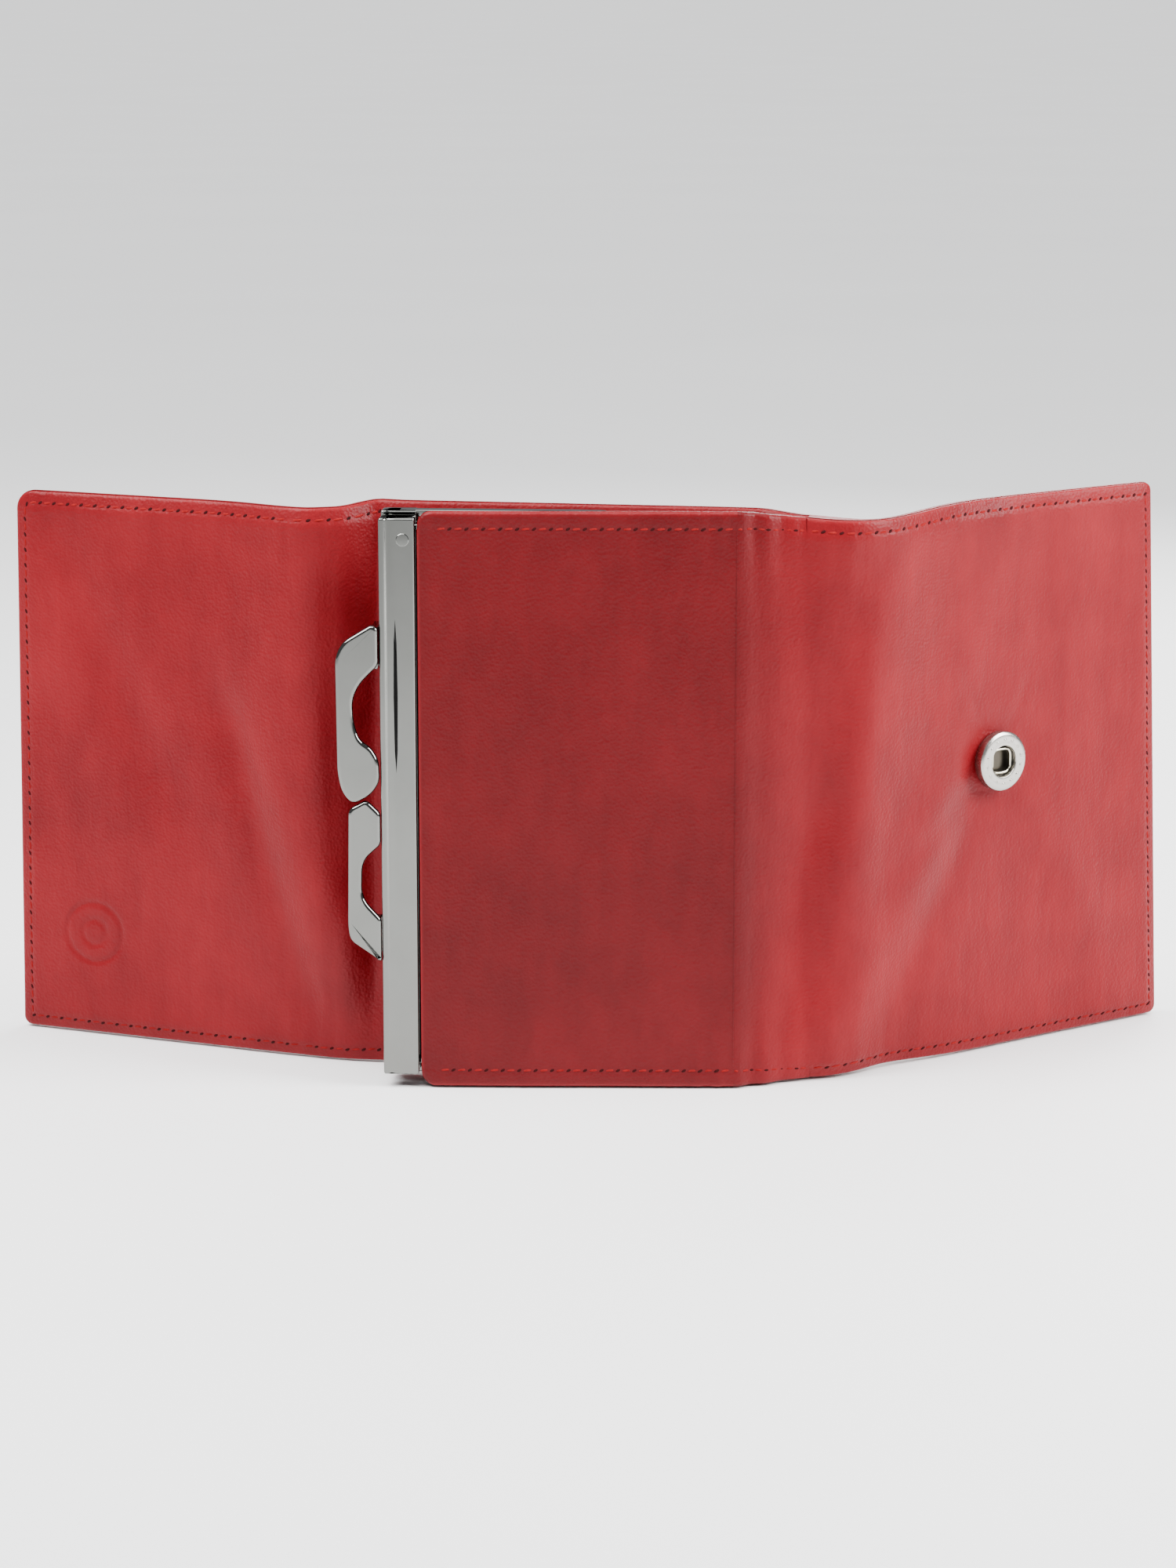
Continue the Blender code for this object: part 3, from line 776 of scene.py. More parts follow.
def build_cover(looks):
    """The outer leather, its boards and its inside leather, in lengths that each span one fold."""
    left_corners = {(False, True): CORNER_LARGE, (False, False): CORNER_SMALL}
    right_corners = {(True, True): CORNER_SMALL, (True, False): CORNER_SMALL}
    levels = (0.0, SHELL_HEIGHT)
    fine_wing = [(MOTIF_S - MOTIF_SPAN, MOTIF_S + MOTIF_SPAN, 0.34), (-58.0, MID_LEFT, 0.8)]
    fine_motif = [(MOTIF_Z - MOTIF_SPAN, MOTIF_Z + MOTIF_SPAN, 0.34)]
    fine_snap = [(SNAP_S - 9.0, SNAP_S + 9.0, 0.8), (MID_RIGHT, 60.0, 0.75)]
    fine_left = [(MID_LEFT, -30.0, 0.75)]
    fine_right = [(33.0, MID_RIGHT, 0.75)]
    spans = {
        "left_wing": ((S_L3, MID_LEFT), (1, 0, 1, 1), left_corners),
        "left_back": ((MID_LEFT, 0.0), (0, 0, 1, 1), None),
        "right_back": ((0.0, MID_RIGHT), (0, 0, 1, 1), None),
        "right_wing": ((MID_RIGHT, S_R3), (0, 1, 1, 1), right_corners),
    }
    fine = dict(zip(spans, (fine_wing, fine_left, fine_right, fine_snap)))
    bodies = {
        "left_wing": ("left_spine", "left_wing", LEFT_WING_ZONE),
        "left_back": ("back_panel", "left_spine", LEFT_BACK_ZONE),
        "right_back": ("back_panel", "right_spine", RIGHT_BACK_ZONE),
        "right_wing": ("right_spine", "right_wing", RIGHT_WING_ZONE),
    }
    stands_for = {
        "left_wing": (("left_wing_leather",), ("left_wing_lining", "left_spine_lining")),
        "left_back": (("left_spine_leather",), ()),
        "right_back": (("right_spine_leather", "back_shell_leather"), ("back_lining",)),
        "right_wing": (("right_wing_leather",), ("right_wing_lining", "right_spine_lining")),
    }
    for name, (span, free, radii) in spans.items():
        first, second, zone = bodies[name]
        patch = Patch(span, levels, free, radii, fine_s=fine[name])
        cover = cover_piece(f"cover_{name}", patch, looks["shell"])
        bend(cover, first, second, zone)
        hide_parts(*stands_for[name][0])
        lining_fine_z = fine_motif if name == "left_wing" else ()
        patch = Patch(span, levels, free, radii, LINING_INSET, fine[name], lining_fine_z)
        lining = lining_piece(f"lining_{name}", patch, looks["inside"], joined=name == "right_wing")
        bend(lining, first, second, zone)
        if stands_for[name][1]:
            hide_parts(*stands_for[name][1])
        for side, inside in (("inside", True), ("outside", False)):
            run = stitches_along(span, free, radii, inside, joined=name == "right_wing")
            thread = join_meshes(f"stitches_{name}_{side}", run, (looks["thread"], looks["painted_hole_shade"]))
            bend(thread, first, second, zone)
    boards = {
        "left_wing_board": ((S_L3, S_L2 - BOARD_SHORT), (1, 0), "left_wing"),
        "back_stiffener_board": ((S_L1 + 3.0, S_R1 - 3.0), (0, 0), "back_panel"),
        "right_wing_board": ((S_R2 + BOARD_SHORT, S_R3), (0, 1), "right_wing"),
    }
    for node_name, (span, free, body) in boards.items():
        board = board_piece(node_name.replace("board", "card"), span, free, looks["board"])
        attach(board, body)
        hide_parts(node_name)


# ---------------------------------------------------------------- stitches


def capsule(points, radius, sides=6):
    """Points and faces of a closed tube along a few points, with pinched ends."""
    points = np.array(points)
    ways = np.gradient(points, axis=0)
    out, faces = [], []
    count = len(points)
    for i, (point, way) in enumerate(zip(points, ways)):
        way = way / np.linalg.norm(way)
        side = np.cross(way, (0.0, 0.3, 1.0) if abs(way[2]) < 0.8 else (1.0, 0.3, 0.0))
        side /= np.linalg.norm(side)
        up = np.cross(side, way)
        size = radius * (0.55 if i in (0, count - 1) else 1.0)
        for k in range(sides):
            turn = 2 * pi * k / sides
            out.append(point + size * (cos(turn) * side + sin(turn) * up))
    for i in range(count - 1):
        for k in range(sides):
            a, b = i * sides + k, i * sides + (k + 1) % sides
            faces.append((a, b, b + sides, a + sides))
    faces.append(tuple(range(sides))[::-1])
    faces.append(tuple(range((count - 1) * sides, count * sides)))
    return out, faces


def bead(centre, way, normal, long, wide, deep):
    """A small flattened lens set into a surface; in a dark look it is the painted shade of a needle hole or
    a slit.
    """
    way = way / np.linalg.norm(way)
    normal = normal / np.linalg.norm(normal)
    across = np.cross(normal, way)
    out = [centre + normal * deep]
    rings = ((0.6, 0.72), (1.0, 0.0), (0.6, -0.72))
    sides = 8
    for size, level in rings:
        for k in range(sides):
            turn = 2 * pi * k / sides
            flat = size * (long * cos(turn) * way + wide * sin(turn) * across)
            out.append(centre + flat + normal * deep * level)
    out.append(centre - normal * deep)
    faces = [(0, 1 + k, 1 + (k + 1) % sides) for k in range(sides)]
    for ring in range(2):
        base = 1 + ring * sides
        for k in range(sides):
            a, b = base + k, base + (k + 1) % sides
            faces.append((a, a + sides, b + sides, b))
    last = 1 + 3 * sides
    faces += [(last - sides + (k + 1) % sides, last - sides + k, last) for k in range(sides)]
    return out, faces


def sew(route, place_at):
    """Threads, and dark lenses of painted shade at the needle holes, along a route of (a, b) pairs; place_at
    gives a point at a height.
    """
    route = np.array(route, float)
    gaps = np.hypot(*np.diff(route, axis=0).T)
    length = np.concatenate([[0.0], np.cumsum(gaps)])
    count = max(1, int(round(length[-1] / STITCH_PITCH)))
    pitch = length[-1] / count
    share = STITCH_LENGTH / STITCH_PITCH

    def at(t):
        return np.array([np.interp(t, length, route[:, 0]), np.interp(t, length, route[:, 1])])

    parts = []
    for i in range(count):
        middle = (i + 0.5) * pitch
        half = pitch * share / 2
        line = []
        for k in range(5):
            f = k / 2 - 1
            spot = at(middle + f * half)
            way = at(middle + 0.1) - at(middle - 0.1)
            way /= np.linalg.norm(way)
            spot = spot + np.array([-way[1], way[0]]) * f * THREAD_SLANT
            line.append(place_at(spot[0], spot[1], -0.06 - 0.2 * f * f))
        parts.append((*capsule(line, THREAD_RADIUS), 0))
        if i == 0:
            continue
        hole = at(i * pitch)
        way = at(i * pitch + 0.1) - at(i * pitch - 0.1)
        way /= np.linalg.norm(way)
        ahead = hole + 0.2 * way + 0.12 * np.array([-way[1], way[0]])
        low = np.array(place_at(hole[0], hole[1], -0.08))
        high = np.array(place_at(hole[0], hole[1], 0.0))
        run = np.array(place_at(ahead[0], ahead[1], 0.0)) - high
        parts.append((*bead(low, run, high - low, HOLE_LONG, HOLE_WIDE, 0.2), 1))
    return parts


def stitches_along(span, free, radii, inside, joined):
    """The run of stitches beside a length of cover's free edges."""
    left, right, _, _ = free
    inset = STITCH_LINE
    s0, s1 = span[0] + inset * left, span[1] - inset * right
    z0, z1 = inset, SHELL_HEIGHT - inset

    def corner(at_right, at_top):
        radius = max((radii or {}).get((at_right, at_top), 0.0) - inset, 0.0)
        cs = s1 - radius if at_right else s0 + radius
        cz = z1 - radius if at_top else z0 + radius
        start = {(1, 0): -90, (1, 1): 0, (0, 1): 90, (0, 0): 180}[at_right, at_top]
        turns = [radians(start + 90 * i / 6) for i in range(7)]
        return [(cs + radius * cos(a), cz + radius * sin(a)) for a in turns] if radius else [(cs, cz)]

    if left:
        routes = [[(s1, z1)] + corner(False, True) + corner(False, False) + [(s1, z0)]]
    elif right:
        routes = [[(s0, z0)] + corner(True, False) + corner(True, True) + [(s0, z1)]]
    else:
        routes = [[(s0, z1), (s1, z1)], [(s0, z0), (s1, z0)]]

    def place_at(s, z, height):
        if inside:
            return surface(s, z, inner_face(s, z, STITCH_LINE, joined) + height)
        return surface(s, z, OUTER_FACE + 0.06 - height)

    parts = []
    for route in routes:
        parts += sew(route, place_at)
    return parts


# ---------------------------------------------------------------- coin pouch


def page_point(u, v, z):
    """From the page's own frame (u along it, v out of its back) to the row frame."""
    c, s = cos(PAGE_TURN), sin(PAGE_TURN)
    return np.stack([PAGE[0] + u * c - v * s, PAGE[1] + u * s + v * c, z + 0.0 * u], -1)


def page_spot(u, v):
    """A point of the page's own frame at mid height, in metres."""
    return Vector(page_point(u, v, MID_HEIGHT) * MM)


def front_skin(u, z):
    """Level v of the pouch's front face."""
    t = np.clip((u - FRONT_LEFT) / (FRONT_RIGHT - FRONT_LEFT), 0.0, 1.0)
    high = z / POUCH_HEIGHT
    bulge = FRONT_BULGE * np.sin(pi * t) ** 1.3 * (0.35 + 0.65 * np.sin(pi * np.clip(high, 0, 1)))
    tuck = 0.35 * bump(u, FRONT_LEFT, 1.6)
    soft = 0.12 * np.sin(u * 0.21 + z * 0.05) * np.sin(z * 0.06 + 0.5) * np.sin(pi * t)
    ends = bump(z, 1.5, 6.0) + bump(z, POUCH_HEIGHT - 1.5, 6.0)
    pucker = 0.16 * np.sin(u * 1.9) * bump(u, -4.5, 4.5) * ends
    return FRONT_FACE_LEFT + (u - FRONT_LEFT) * FRONT_SLOPE - bulge + tuck + soft + pucker


def front_edge(d, rim):
    """Face and back of the pouch's front leather at a distance from its edge, with a thicker turned rim."""
    face = round_edge(d, FRONT_ROUND) + 0.08 * bump(d, POUCH_STITCH_LINE, 0.5)
    back = np.where(d < rim, FRONT_RIM - round_edge(d, FRONT_ROUND), FRONT_THICK)
    return face, back


def free_distance(z):
    return np.minimum(z, POUCH_HEIGHT - z)


def front_leather(looks):
    """The pouch's front: one sheet from the frame to the right-hand seam."""
    corners = {(False, True): FRONT_CORNER, (False, False): FRONT_CORNER}
    fine = [(-12.0, FRONT_RIGHT, 0.7)]
    patch = Patch((FRONT_LEFT, FRONT_RIGHT), (0.0, POUCH_HEIGHT), (1, 0, 1, 1), corners, fine_s=fine)
    left = patch.s - FRONT_LEFT
    from_ends = free_distance(patch.z)
    near_corner = np.where(left < 3.0, patch.d, from_ends)
    cut = round_edge(patch.d, 0.25)
    face, back = front_edge(np.where(from_ends > 2.6, 3.0, near_corner), POUCH_STITCH_LINE + 0.2)
    level = front_skin(patch.s, patch.z)
    front = page_point(patch.s, level + np.maximum(face, cut), patch.z)
    rear = page_point(patch.s, level + np.maximum(back - cut, FRONT_THICK * 0.6), patch.z)
    wear = 0.3 * bump(free_distance(patch.z), 0.2, 0.35) + 0.5 * bump(left, 0.0, 0.3)
    # The whole front is darkened with painted shade, against the wing leather that it runs into.
    sheet = closed_sheet("pouch_front_leather", front, rear, looks["inside"], wear, 1.0)
    mouth_blend(sheet)
    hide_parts("front_wall_leather", "pouch_front_panel")

    parts = []
    for z in (POUCH_STITCH_LINE, POUCH_HEIGHT - POUCH_STITCH_LINE):
        route = [(FRONT_LEFT + 2.6, z), (FRONT_RIGHT, z)]

        def place_at(u, w, height):
            return page_point(u, front_skin(u, w) + 0.08 - height, w)

        parts += sew(route, place_at)
    thread = join_meshes("stitches_pouch_front", parts, (looks["thread"], looks["painted_hole_shade"]))
    mouth_blend(thread)

    across = spaced(FRONT_LEFT + 3.3, FRONT_RIGHT - 2.0, 2.0)
    u, z = np.meshgrid(across, spaced(3.2, POUCH_HEIGHT - 3.2, 3.0), indexing="ij")
    level = front_skin(u, z) + FRONT_THICK + 0.2
    front, rear = page_point(u, level, z), page_point(u, level + 0.4, z)
    lining = closed_sheet("pouch_front_lining_cloth", front, rear, looks["lining"])
    mouth_blend(lining)
    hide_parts("front_wall_lining", "pouch_front_lining")


RIVET_U = float((RIVET - PAGE) @ np.array([cos(PAGE_TURN), sin(PAGE_TURN)]))


def mouth_blend(piece):
    start, end = (page_spot(RIVET_U + along, MOUTH_LEVEL) for along in MOUTH_ZONE)
    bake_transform(piece)
    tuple(start)
    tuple(end)


def rear_wall(looks):
    corners = {(False, True): 2.0, (False, False): 2.0}
    patch = Patch((-52.8, -0.7), (0.0, REAR_HEIGHT), (1, 0, 1, 1), corners)
    d = patch.d
    rear = page_point(patch.s, -round_edge(d, 0.3) - groove(d, 0.06), patch.z)
    front = page_point(patch.s, -REAR_WALL + round_edge(d, 0.3), patch.z)
    wall = closed_sheet("pouch_rear_leather", rear, front, looks["pouch"], 0.25 * bump(d, 0.1, 0.3))
    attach(wall, "coin_pouch")
    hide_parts("pouch_rear_wall")
    parts = []
    for z in (STITCH_LINE, REAR_HEIGHT - STITCH_LINE):

        def place_at(u, w, height):
            return page_point(u, height - 0.06, w)

        parts += sew([(-50.0, z), (-1.5, z)], place_at)
    thread = join_meshes("stitches_pouch_rear", parts, (looks["thread"], looks["painted_hole_shade"]))
    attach(thread, "coin_pouch")


def end_welt(looks):
    """The folded strip that closes the pouch's right-hand end."""
    z = lines(0.5, POUCH_HEIGHT - 1.0, True, True)
    across = np.linspace(0.0, 1.0, 9)
    t, z = np.meshgrid(across, z, indexing="ij")
    near = front_skin(np.full(t.shape, FRONT_RIGHT), z) + FRONT_THICK + 0.05
    v = near + (-REAR_WALL - 0.05 - near) * t
    fold = 0.7 * np.sin(pi * t)
    right = page_point(FRONT_RIGHT + 0.1 - fold, v, z)
    left = page_point(FRONT_RIGHT - 1.1 - fold, v, z)
    welt = closed_sheet("pouch_end_strip", right, left, looks["pouch"])
    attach(welt, "coin_pouch")
    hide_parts("pouch_end_welt")


def gussets(looks):
    """Folded cloth between the walls at the top and the bottom."""
    for name, level, way in GUSSET_LEVELS:
        u = spaced(-51.6, RIVET_U - 1.6, 1.0)
        t = np.linspace(0.0, 1.0, 15)
        u, t = np.meshgrid(u, t, indexing="ij")
        dip = way * GUSSET_DIP * (1 - np.abs(2 * t - 1)) + way * 0.25 * np.sin(u * 0.8)
        near = front_skin(u, np.full(u.shape, level)) + FRONT_THICK + 0.75
        v = -REAR_WALL - 0.25 + (near + REAR_WALL + 0.25) * t
        one = page_point(u, v, level + dip)
        two = page_point(u, v, level + dip + GUSSET_THICK)
        cloth = closed_sheet(f"gusset_cloth_{name}", one, two, looks["lining"])
        start, end = (page_spot(GUSSET_U, depth) for depth in GUSSET_ZONE)
        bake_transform(cloth)
        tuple(start)
        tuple(end)
        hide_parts(f"gusset_{name}")


def band_points(t, z, depth):
    """The leather between the pouch's front and the right wing, t from 0 to 1 across it."""
    t, z, depth = np.broadcast_arrays(*(np.asarray(a, float) for a in (t, z, depth)))
    pouch_z = z * POUCH_HEIGHT / SHELL_HEIGHT
    right = np.full(t.shape, FRONT_RIGHT)
    before = page_point(right - 1.0, front_skin(right - 1.0, pouch_z), pouch_z)
    start = page_point(right, front_skin(right, pouch_z), pouch_z)
    middle_depth = np.full(t.shape, 9.0)
    ends = []
    for s in (MID_RIGHT, MID_RIGHT + 1.0):
        place_s = np.full(t.shape, s)
        ends.append(surface(place_s, z, inner_face(place_s, z, middle_depth, True)))
    end, after = ends
    first = (start - before) * 6.0
    last = (after - end) * 9.0
    a, b = 2 * t**3 - 3 * t**2 + 1, t**3 - 2 * t**2 + t
    c, d = -2 * t**3 + 3 * t**2, t**3 - t**2
    point = a[..., None] * start + b[..., None] * first + c[..., None] * end + d[..., None] * last
    near = bump(z, 1.5, 7.0) + bump(z, SHELL_HEIGHT - 1.5, 7.0)
    fold = 0.25 * np.sin(t * 16.0 + 0.5) * near * np.sin(pi * t) - (0.16 + 0.25 * near) * bump(t, 0.34, 0.11)
    return point + np.array([0.25, -1.0, 0.0]) * (fold - depth)[..., None]


def seam_band(looks):
    """The leather from the pouch's seam to the right-hand spine."""
    z_marks = lines(0.0, SHELL_HEIGHT, True, True)
    split = BAND_ZONE[0]
    seam_level = front_skin(FRONT_RIGHT, MID_HEIGHT)
    seam_zone = [page_spot(FRONT_RIGHT + past, seam_level) for past in SEAM_ZONE]
    band_zone = [Vector(band_points(t, MID_HEIGHT, 0.0) * MM) for t in BAND_ZONE]
    lengths = (
        ("inner", 0.0, split, 5, 2.0, "coin_pouch", seam_zone),
        ("outer", split, 1.0, 25, 12.0, "right_spine", band_zone),
    )
    for name, low, high, columns, span, second, zone in lengths:
        t = np.linspace(low, high, columns)
        t, z = np.meshgrid(t, z_marks, indexing="ij")
        d = np.minimum(z, SHELL_HEIGHT - z)
        share = smooth(t, 0.3, 1.0)
        pouch_face, back = front_edge(d, 3.0)
        face = pouch_face * (1 - share) + edge_drop(d) * share
        back = np.maximum(back, face + 0.3)
        # Painted shade: the leather darkens from the wing towards the pouch's front.
        painted_shade = 1 - smooth(t, 0.1, 0.9)
        front, rear = band_points(t, z, face), band_points(t, z, back)
        piece = closed_sheet(f"seam_leather_{name}", front, rear, looks["inside"], painted_shade=painted_shade)
        parts = []
        for at_top in (False, True):

            def place_at(u, _, height):
                share = low + (high - low) * u / span
                line = POUCH_STITCH_LINE + (STITCH_LINE - POUCH_STITCH_LINE) * share
                sink = 0.08 + (edge_drop(STITCH_LINE) - 0.08) * smooth(share, 0.3, 1.0)
                return band_points(share, SHELL_HEIGHT - line if at_top else line, sink - height)

            parts += sew([(0.0, 0.0), (span, 0.0)], place_at)
        thread = join_meshes(f"stitches_seam_{name}", parts, (looks["thread"], looks["painted_hole_shade"]))
        for obj in (piece, thread):
            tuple(zone[0])
            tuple(zone[1])
            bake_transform(obj)


# ---------------------------------------------------------------- metal frame


def rounded(points, radii, steps=5):
    """A closed outline with each corner turned into an arc of about the given radius."""
    out = []
    count = len(points)
    for i, radius in enumerate(radii):
        before, here, after = (np.array(points[(i + k) % count], float) for k in (-1, 0, 1))
        if not radius:
            out.append(here)
            continue
        one, two = before - here, after - here
        cut = min(radius, 0.48 * np.linalg.norm(one), 0.48 * np.linalg.norm(two))
        start = here + one / np.linalg.norm(one) * cut
        end = here + two / np.linalg.norm(two) * cut
        for k in range(steps + 1):
            t = k / steps
            out.append((1 - t) ** 2 * start + 2 * t * (1 - t) * here + t * t * end)
    return np.array(out)


def inset_outline(points, distance):
    """The outline moved inwards; the points run anticlockwise."""
    before = np.roll(points, 1, 0)
    after = np.roll(points, -1, 0)
    way = after - before
    way /= np.linalg.norm(way, axis=1, keepdims=True)
    inward = np.stack([-way[:, 1], way[:, 0]], -1)
    return points + inward * distance


def loft_rings(rings):
    """Points and faces of a closed solid through rings of equal count, with flat ends."""
    count = len(rings[0])
    points = np.concatenate(rings)
    faces = []
    for ring in range(len(rings) - 1):
        for k in range(count):
            a, b = ring * count + k, ring * count + (k + 1) % count
            faces.append((a, b, b + count, a + count))
    faces.append(tuple(range(count))[::-1])
    faces.append(tuple(range((len(rings) - 1) * count, len(rings) * count)))
    return points, faces


def anticlockwise(points):
    x, y = np.array(points).T
    area = (x * np.roll(y, -1) - np.roll(x, -1) * y).sum()
    return np.array(points) if area > 0 else np.array(points)[::-1]


def page_levels(node_name):
    """The box of a CAD node in the page's own frame: (u low, u high, v low, v high, z low, z high)."""
    points = plate_points(node_name)
    flat = points[:, :2] - PAGE
    c, s = cos(PAGE_TURN), sin(PAGE_TURN)
    u, v = flat @ np.array([c, s]), flat @ np.array([-s, c])
    return u.min(), u.max(), v.min(), v.max(), points[:, 2].min(), points[:, 2].max()


def upright_bar(name, outline, radii, z_low, z_high, look, body, ease=0.35):
    """A bar of constant plan outline with softened ends."""
    shape = anticlockwise(rounded(outline, radii))
    rings = []
    steps = ((0.0, ease), (ease * 0.3, ease * 0.3), (ease, 0.0))
    for rise, inset in steps:
        rings.append((inset_outline(shape, inset), z_low + rise))
    for rise, inset in reversed(steps):
        rings.append((inset_outline(shape, inset), z_high - rise))
    solid = [page_point(ring[:, 0], ring[:, 1], np.full(len(ring), z)) for ring, z in rings]
    points, faces = loft_rings(solid)
    obj = mesh_object(name, points * MM, faces, look, 50.0, True)
    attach(obj, body)
    return obj


BAR_WIDTH = 5.8
BAR_DEPTH = 3.8
# Half length, half width and depth of the dark lens down the front bar: painted shadow in its slit.
SLIT_SHADOW_SIZE = (12.6, 0.33, 0.06)
RIVET_PROFILE = [(0.0, -0.3), (1.05, -0.3), (1.05, 0.05), (0.95, 0.12), (0.0, 0.16)]


def bar_outline(left, back, slot_depth, lip):
    """Plan of a rolled channel bar: its slot opens to the right, and its front has a raised left rim."""
    right = left + BAR_WIDTH
    front = back - BAR_DEPTH
    slot_back, slot_front = back - slot_depth, back - slot_depth - 2.2
    points = [
        (right, back), (right, slot_back), (left + 1.5, slot_back), (left + 1.5, slot_front),
        (right, slot_front), (right, front + 0.1), (left + 2.3, front + 0.1),
        (left + 1.25, front + lip), (left + 0.9, front), (left, front), (left, back),
    ]
    radii = (0.5, 0.2, 0.5, 0.5, 0.2, 0.45, 0.7, 0.4, 0.4, 1.0, 1.0)
    return points, radii


def arm(name, span, v_span, levels, look, body):
    """A flat frame arm with a rounded eye at the rivet, softened along its edges."""
    start, eye = span
    low, high = v_span
    rivet_v = float((RIVET - PAGE) @ np.array([-sin(PAGE_TURN), cos(PAGE_TURN)]))
    reach = 1.5
    outline = [(start, low), (eye - 4.0, low), (eye - 1.6, rivet_v - reach)]
    outline += [(eye + reach * cos(a), rivet_v + reach * sin(a)) for a in np.linspace(-pi / 2, pi / 2, 11)]
    outline += [(eye - 1.6, rivet_v + reach), (eye - 4.0, high), (start, high)]
    radii = [0.3, 1.2, 1.0] + [0.0] * 11 + [1.0, 1.2, 0.3]
    return upright_bar(name, outline, radii, *levels, look, body, ease=0.2)


HOOK_ROOT = 0.3
UPPER_HOOK = [
    (0.2, 76.2, 0.8), (1.3, 76.7, 0.9), (5.9, 73.9, 1.6), (7.15, 71.4, 1.6), (7.0, 52.4, 2.0),
    (6.3, 49.2, 1.9), (4.6, 47.2, 1.7), (1.6, 48.8, 1.6), (0.1, 51.0, 1.2), (0.3, 54.6, 1.0),
    (1.4, 56.6, 1.1), (3.3, 57.8, 1.3), (4.25, 60.6, 1.5), (4.45, 64.4, 1.5), (3.2, 67.1, 1.4),
    (0.2, 70.1, 0.7),
]
LOWER_HOOK = [
    (0.1, 21.0, 0.5), (5.3, 24.6, 1.2), (5.6, 27.0, 1.2), (5.3, 46.4, 1.0), (2.4, 48.0, 0.8),
    (0.1, 45.8, 0.7), (0.1, 40.6, 0.7), (2.5, 38.4, 1.2), (3.15, 36.8, 1.2), (3.25, 32.6, 1.4),
    (2.5, 30.8, 1.3), (0.1, 28.2, 0.6),
]


def clasp_hook(name, outline, node_name, look, body):
    """A pressed hook: a flat face inside a rolled rim, on a foot that reaches back beside its bar."""
    _, right, low, high, _, _ = page_levels(node_name)
    bar_left = right + HOOK_ROOT
    flat = [(bar_left - out, z) for out, z, _ in outline]
    shape = rounded(flat, [radius for _, _, radius in outline], 6)
    shape = anticlockwise(shape)
    front, back = low - 0.12, low + 1.1
    rings = [
        (0.3, back), (0.05, back - 0.12), (0.0, back - 0.35), (0.0, front + 0.55),
        (0.04, front + 0.38), (0.13, front + 0.22), (0.27, front + 0.1), (0.45, front + 0.03),
        (0.62, front),
    ]
    solid = []
    for inset, level in rings:
        ring = inset_outline(shape, inset)
        solid.append(page_point(ring[:, 0], np.full(len(ring), level), ring[:, 1]))
    points, faces = loft_rings(solid)
    hook = mesh_object(name, points * MM, faces, look, 60.0, True)
    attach(hook, body)
    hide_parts(node_name)
    foot_high = [z for out, z, _ in outline if out < 1.6]
    foot_span = (69.4, 76.2) if foot_high[0] > 60 else (22.0, 28.4)
    foot_left, foot_right = bar_left - 1.6, bar_left - 0.2
    plan = [(foot_left, front + 0.6), (foot_right, front + 0.6), (foot_right, high), (foot_left, high)]
    upright_bar(f"{name}_foot", plan, (0.3,) * 4, *foot_span, look, body)


def metal_frame(looks):
    rear_u, _, _, rear_v, z_low, z_high = page_levels("rear_frame_half")
    front_u, _, front_v, _, _, _ = page_levels("front_frame_half")
    front_back = front_v + BAR_DEPTH
    points, radii = bar_outline(rear_u, rear_v, 1.1, 0.2)
    top = z_high + 0.7
    rear = upright_bar("rear_frame_bar", points, radii, z_low, top, looks["chrome"], "coin_pouch")
    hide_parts("rear_frame_half")
    points, radii = bar_outline(front_u, front_back, 0.5, 0.42)
    front = upright_bar("front_frame_bar", points, radii, z_low, z_high, looks["chrome"], "pouch_front")
    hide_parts("front_frame_half")
    out = np.array([sin(PAGE_TURN), -cos(PAGE_TURN), 0.0])
    upright = np.array([0.0, 0.0, 1.0])
    face = front_back - BAR_DEPTH + 0.1
    # A dark lens down the front bar: painted shadow where its slit is.
    slit_shadow_at = page_point(front_u + 2.6, face, 65.0)
    slit_shadow = bead(slit_shadow_at, upright, out, *SLIT_SHADOW_SIZE)
    seam = join_meshes("front_bar_slit_painted_shadow", [(*slit_shadow, 0)], (looks["shadow"],))
    head_at = page_point(front_u + 3.9, face, 90.4)
    head = turned("front_bar_rivet", RIVET_PROFILE, head_at, out, looks["chrome"], 32)
    for piece in (seam, head):
        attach(piece, "pouch_front")
    start = rear_u + 3.0
    for end, level, way in (("top", z_high, -1), ("bottom", z_low, 1)):
        front_span = (front_back - 1.5, front_back - 0.15)
        halves = (
            ("rear", (-3.4, -1.15), (-0.75, 0.4), "coin_pouch"),
            ("front", front_span, (1.3, 2.3), "pouch_front"),
        )
        for half, v_span, inward, body in halves:
            levels = sorted(level + way * depth for depth in inward)
            arm(f"{half}_frame_arm_{end}", (start, RIVET_U), v_span, levels, looks["chrome"], body)
    clasp_hook("upper_hook", UPPER_HOOK, "upper_clasp_hook", looks["chrome"], "coin_pouch")
    clasp_hook("lower_hook", LOWER_HOOK, "lower_clasp_hook", looks["chrome"], "pouch_front")


# ---------------------------------------------------------------- snap


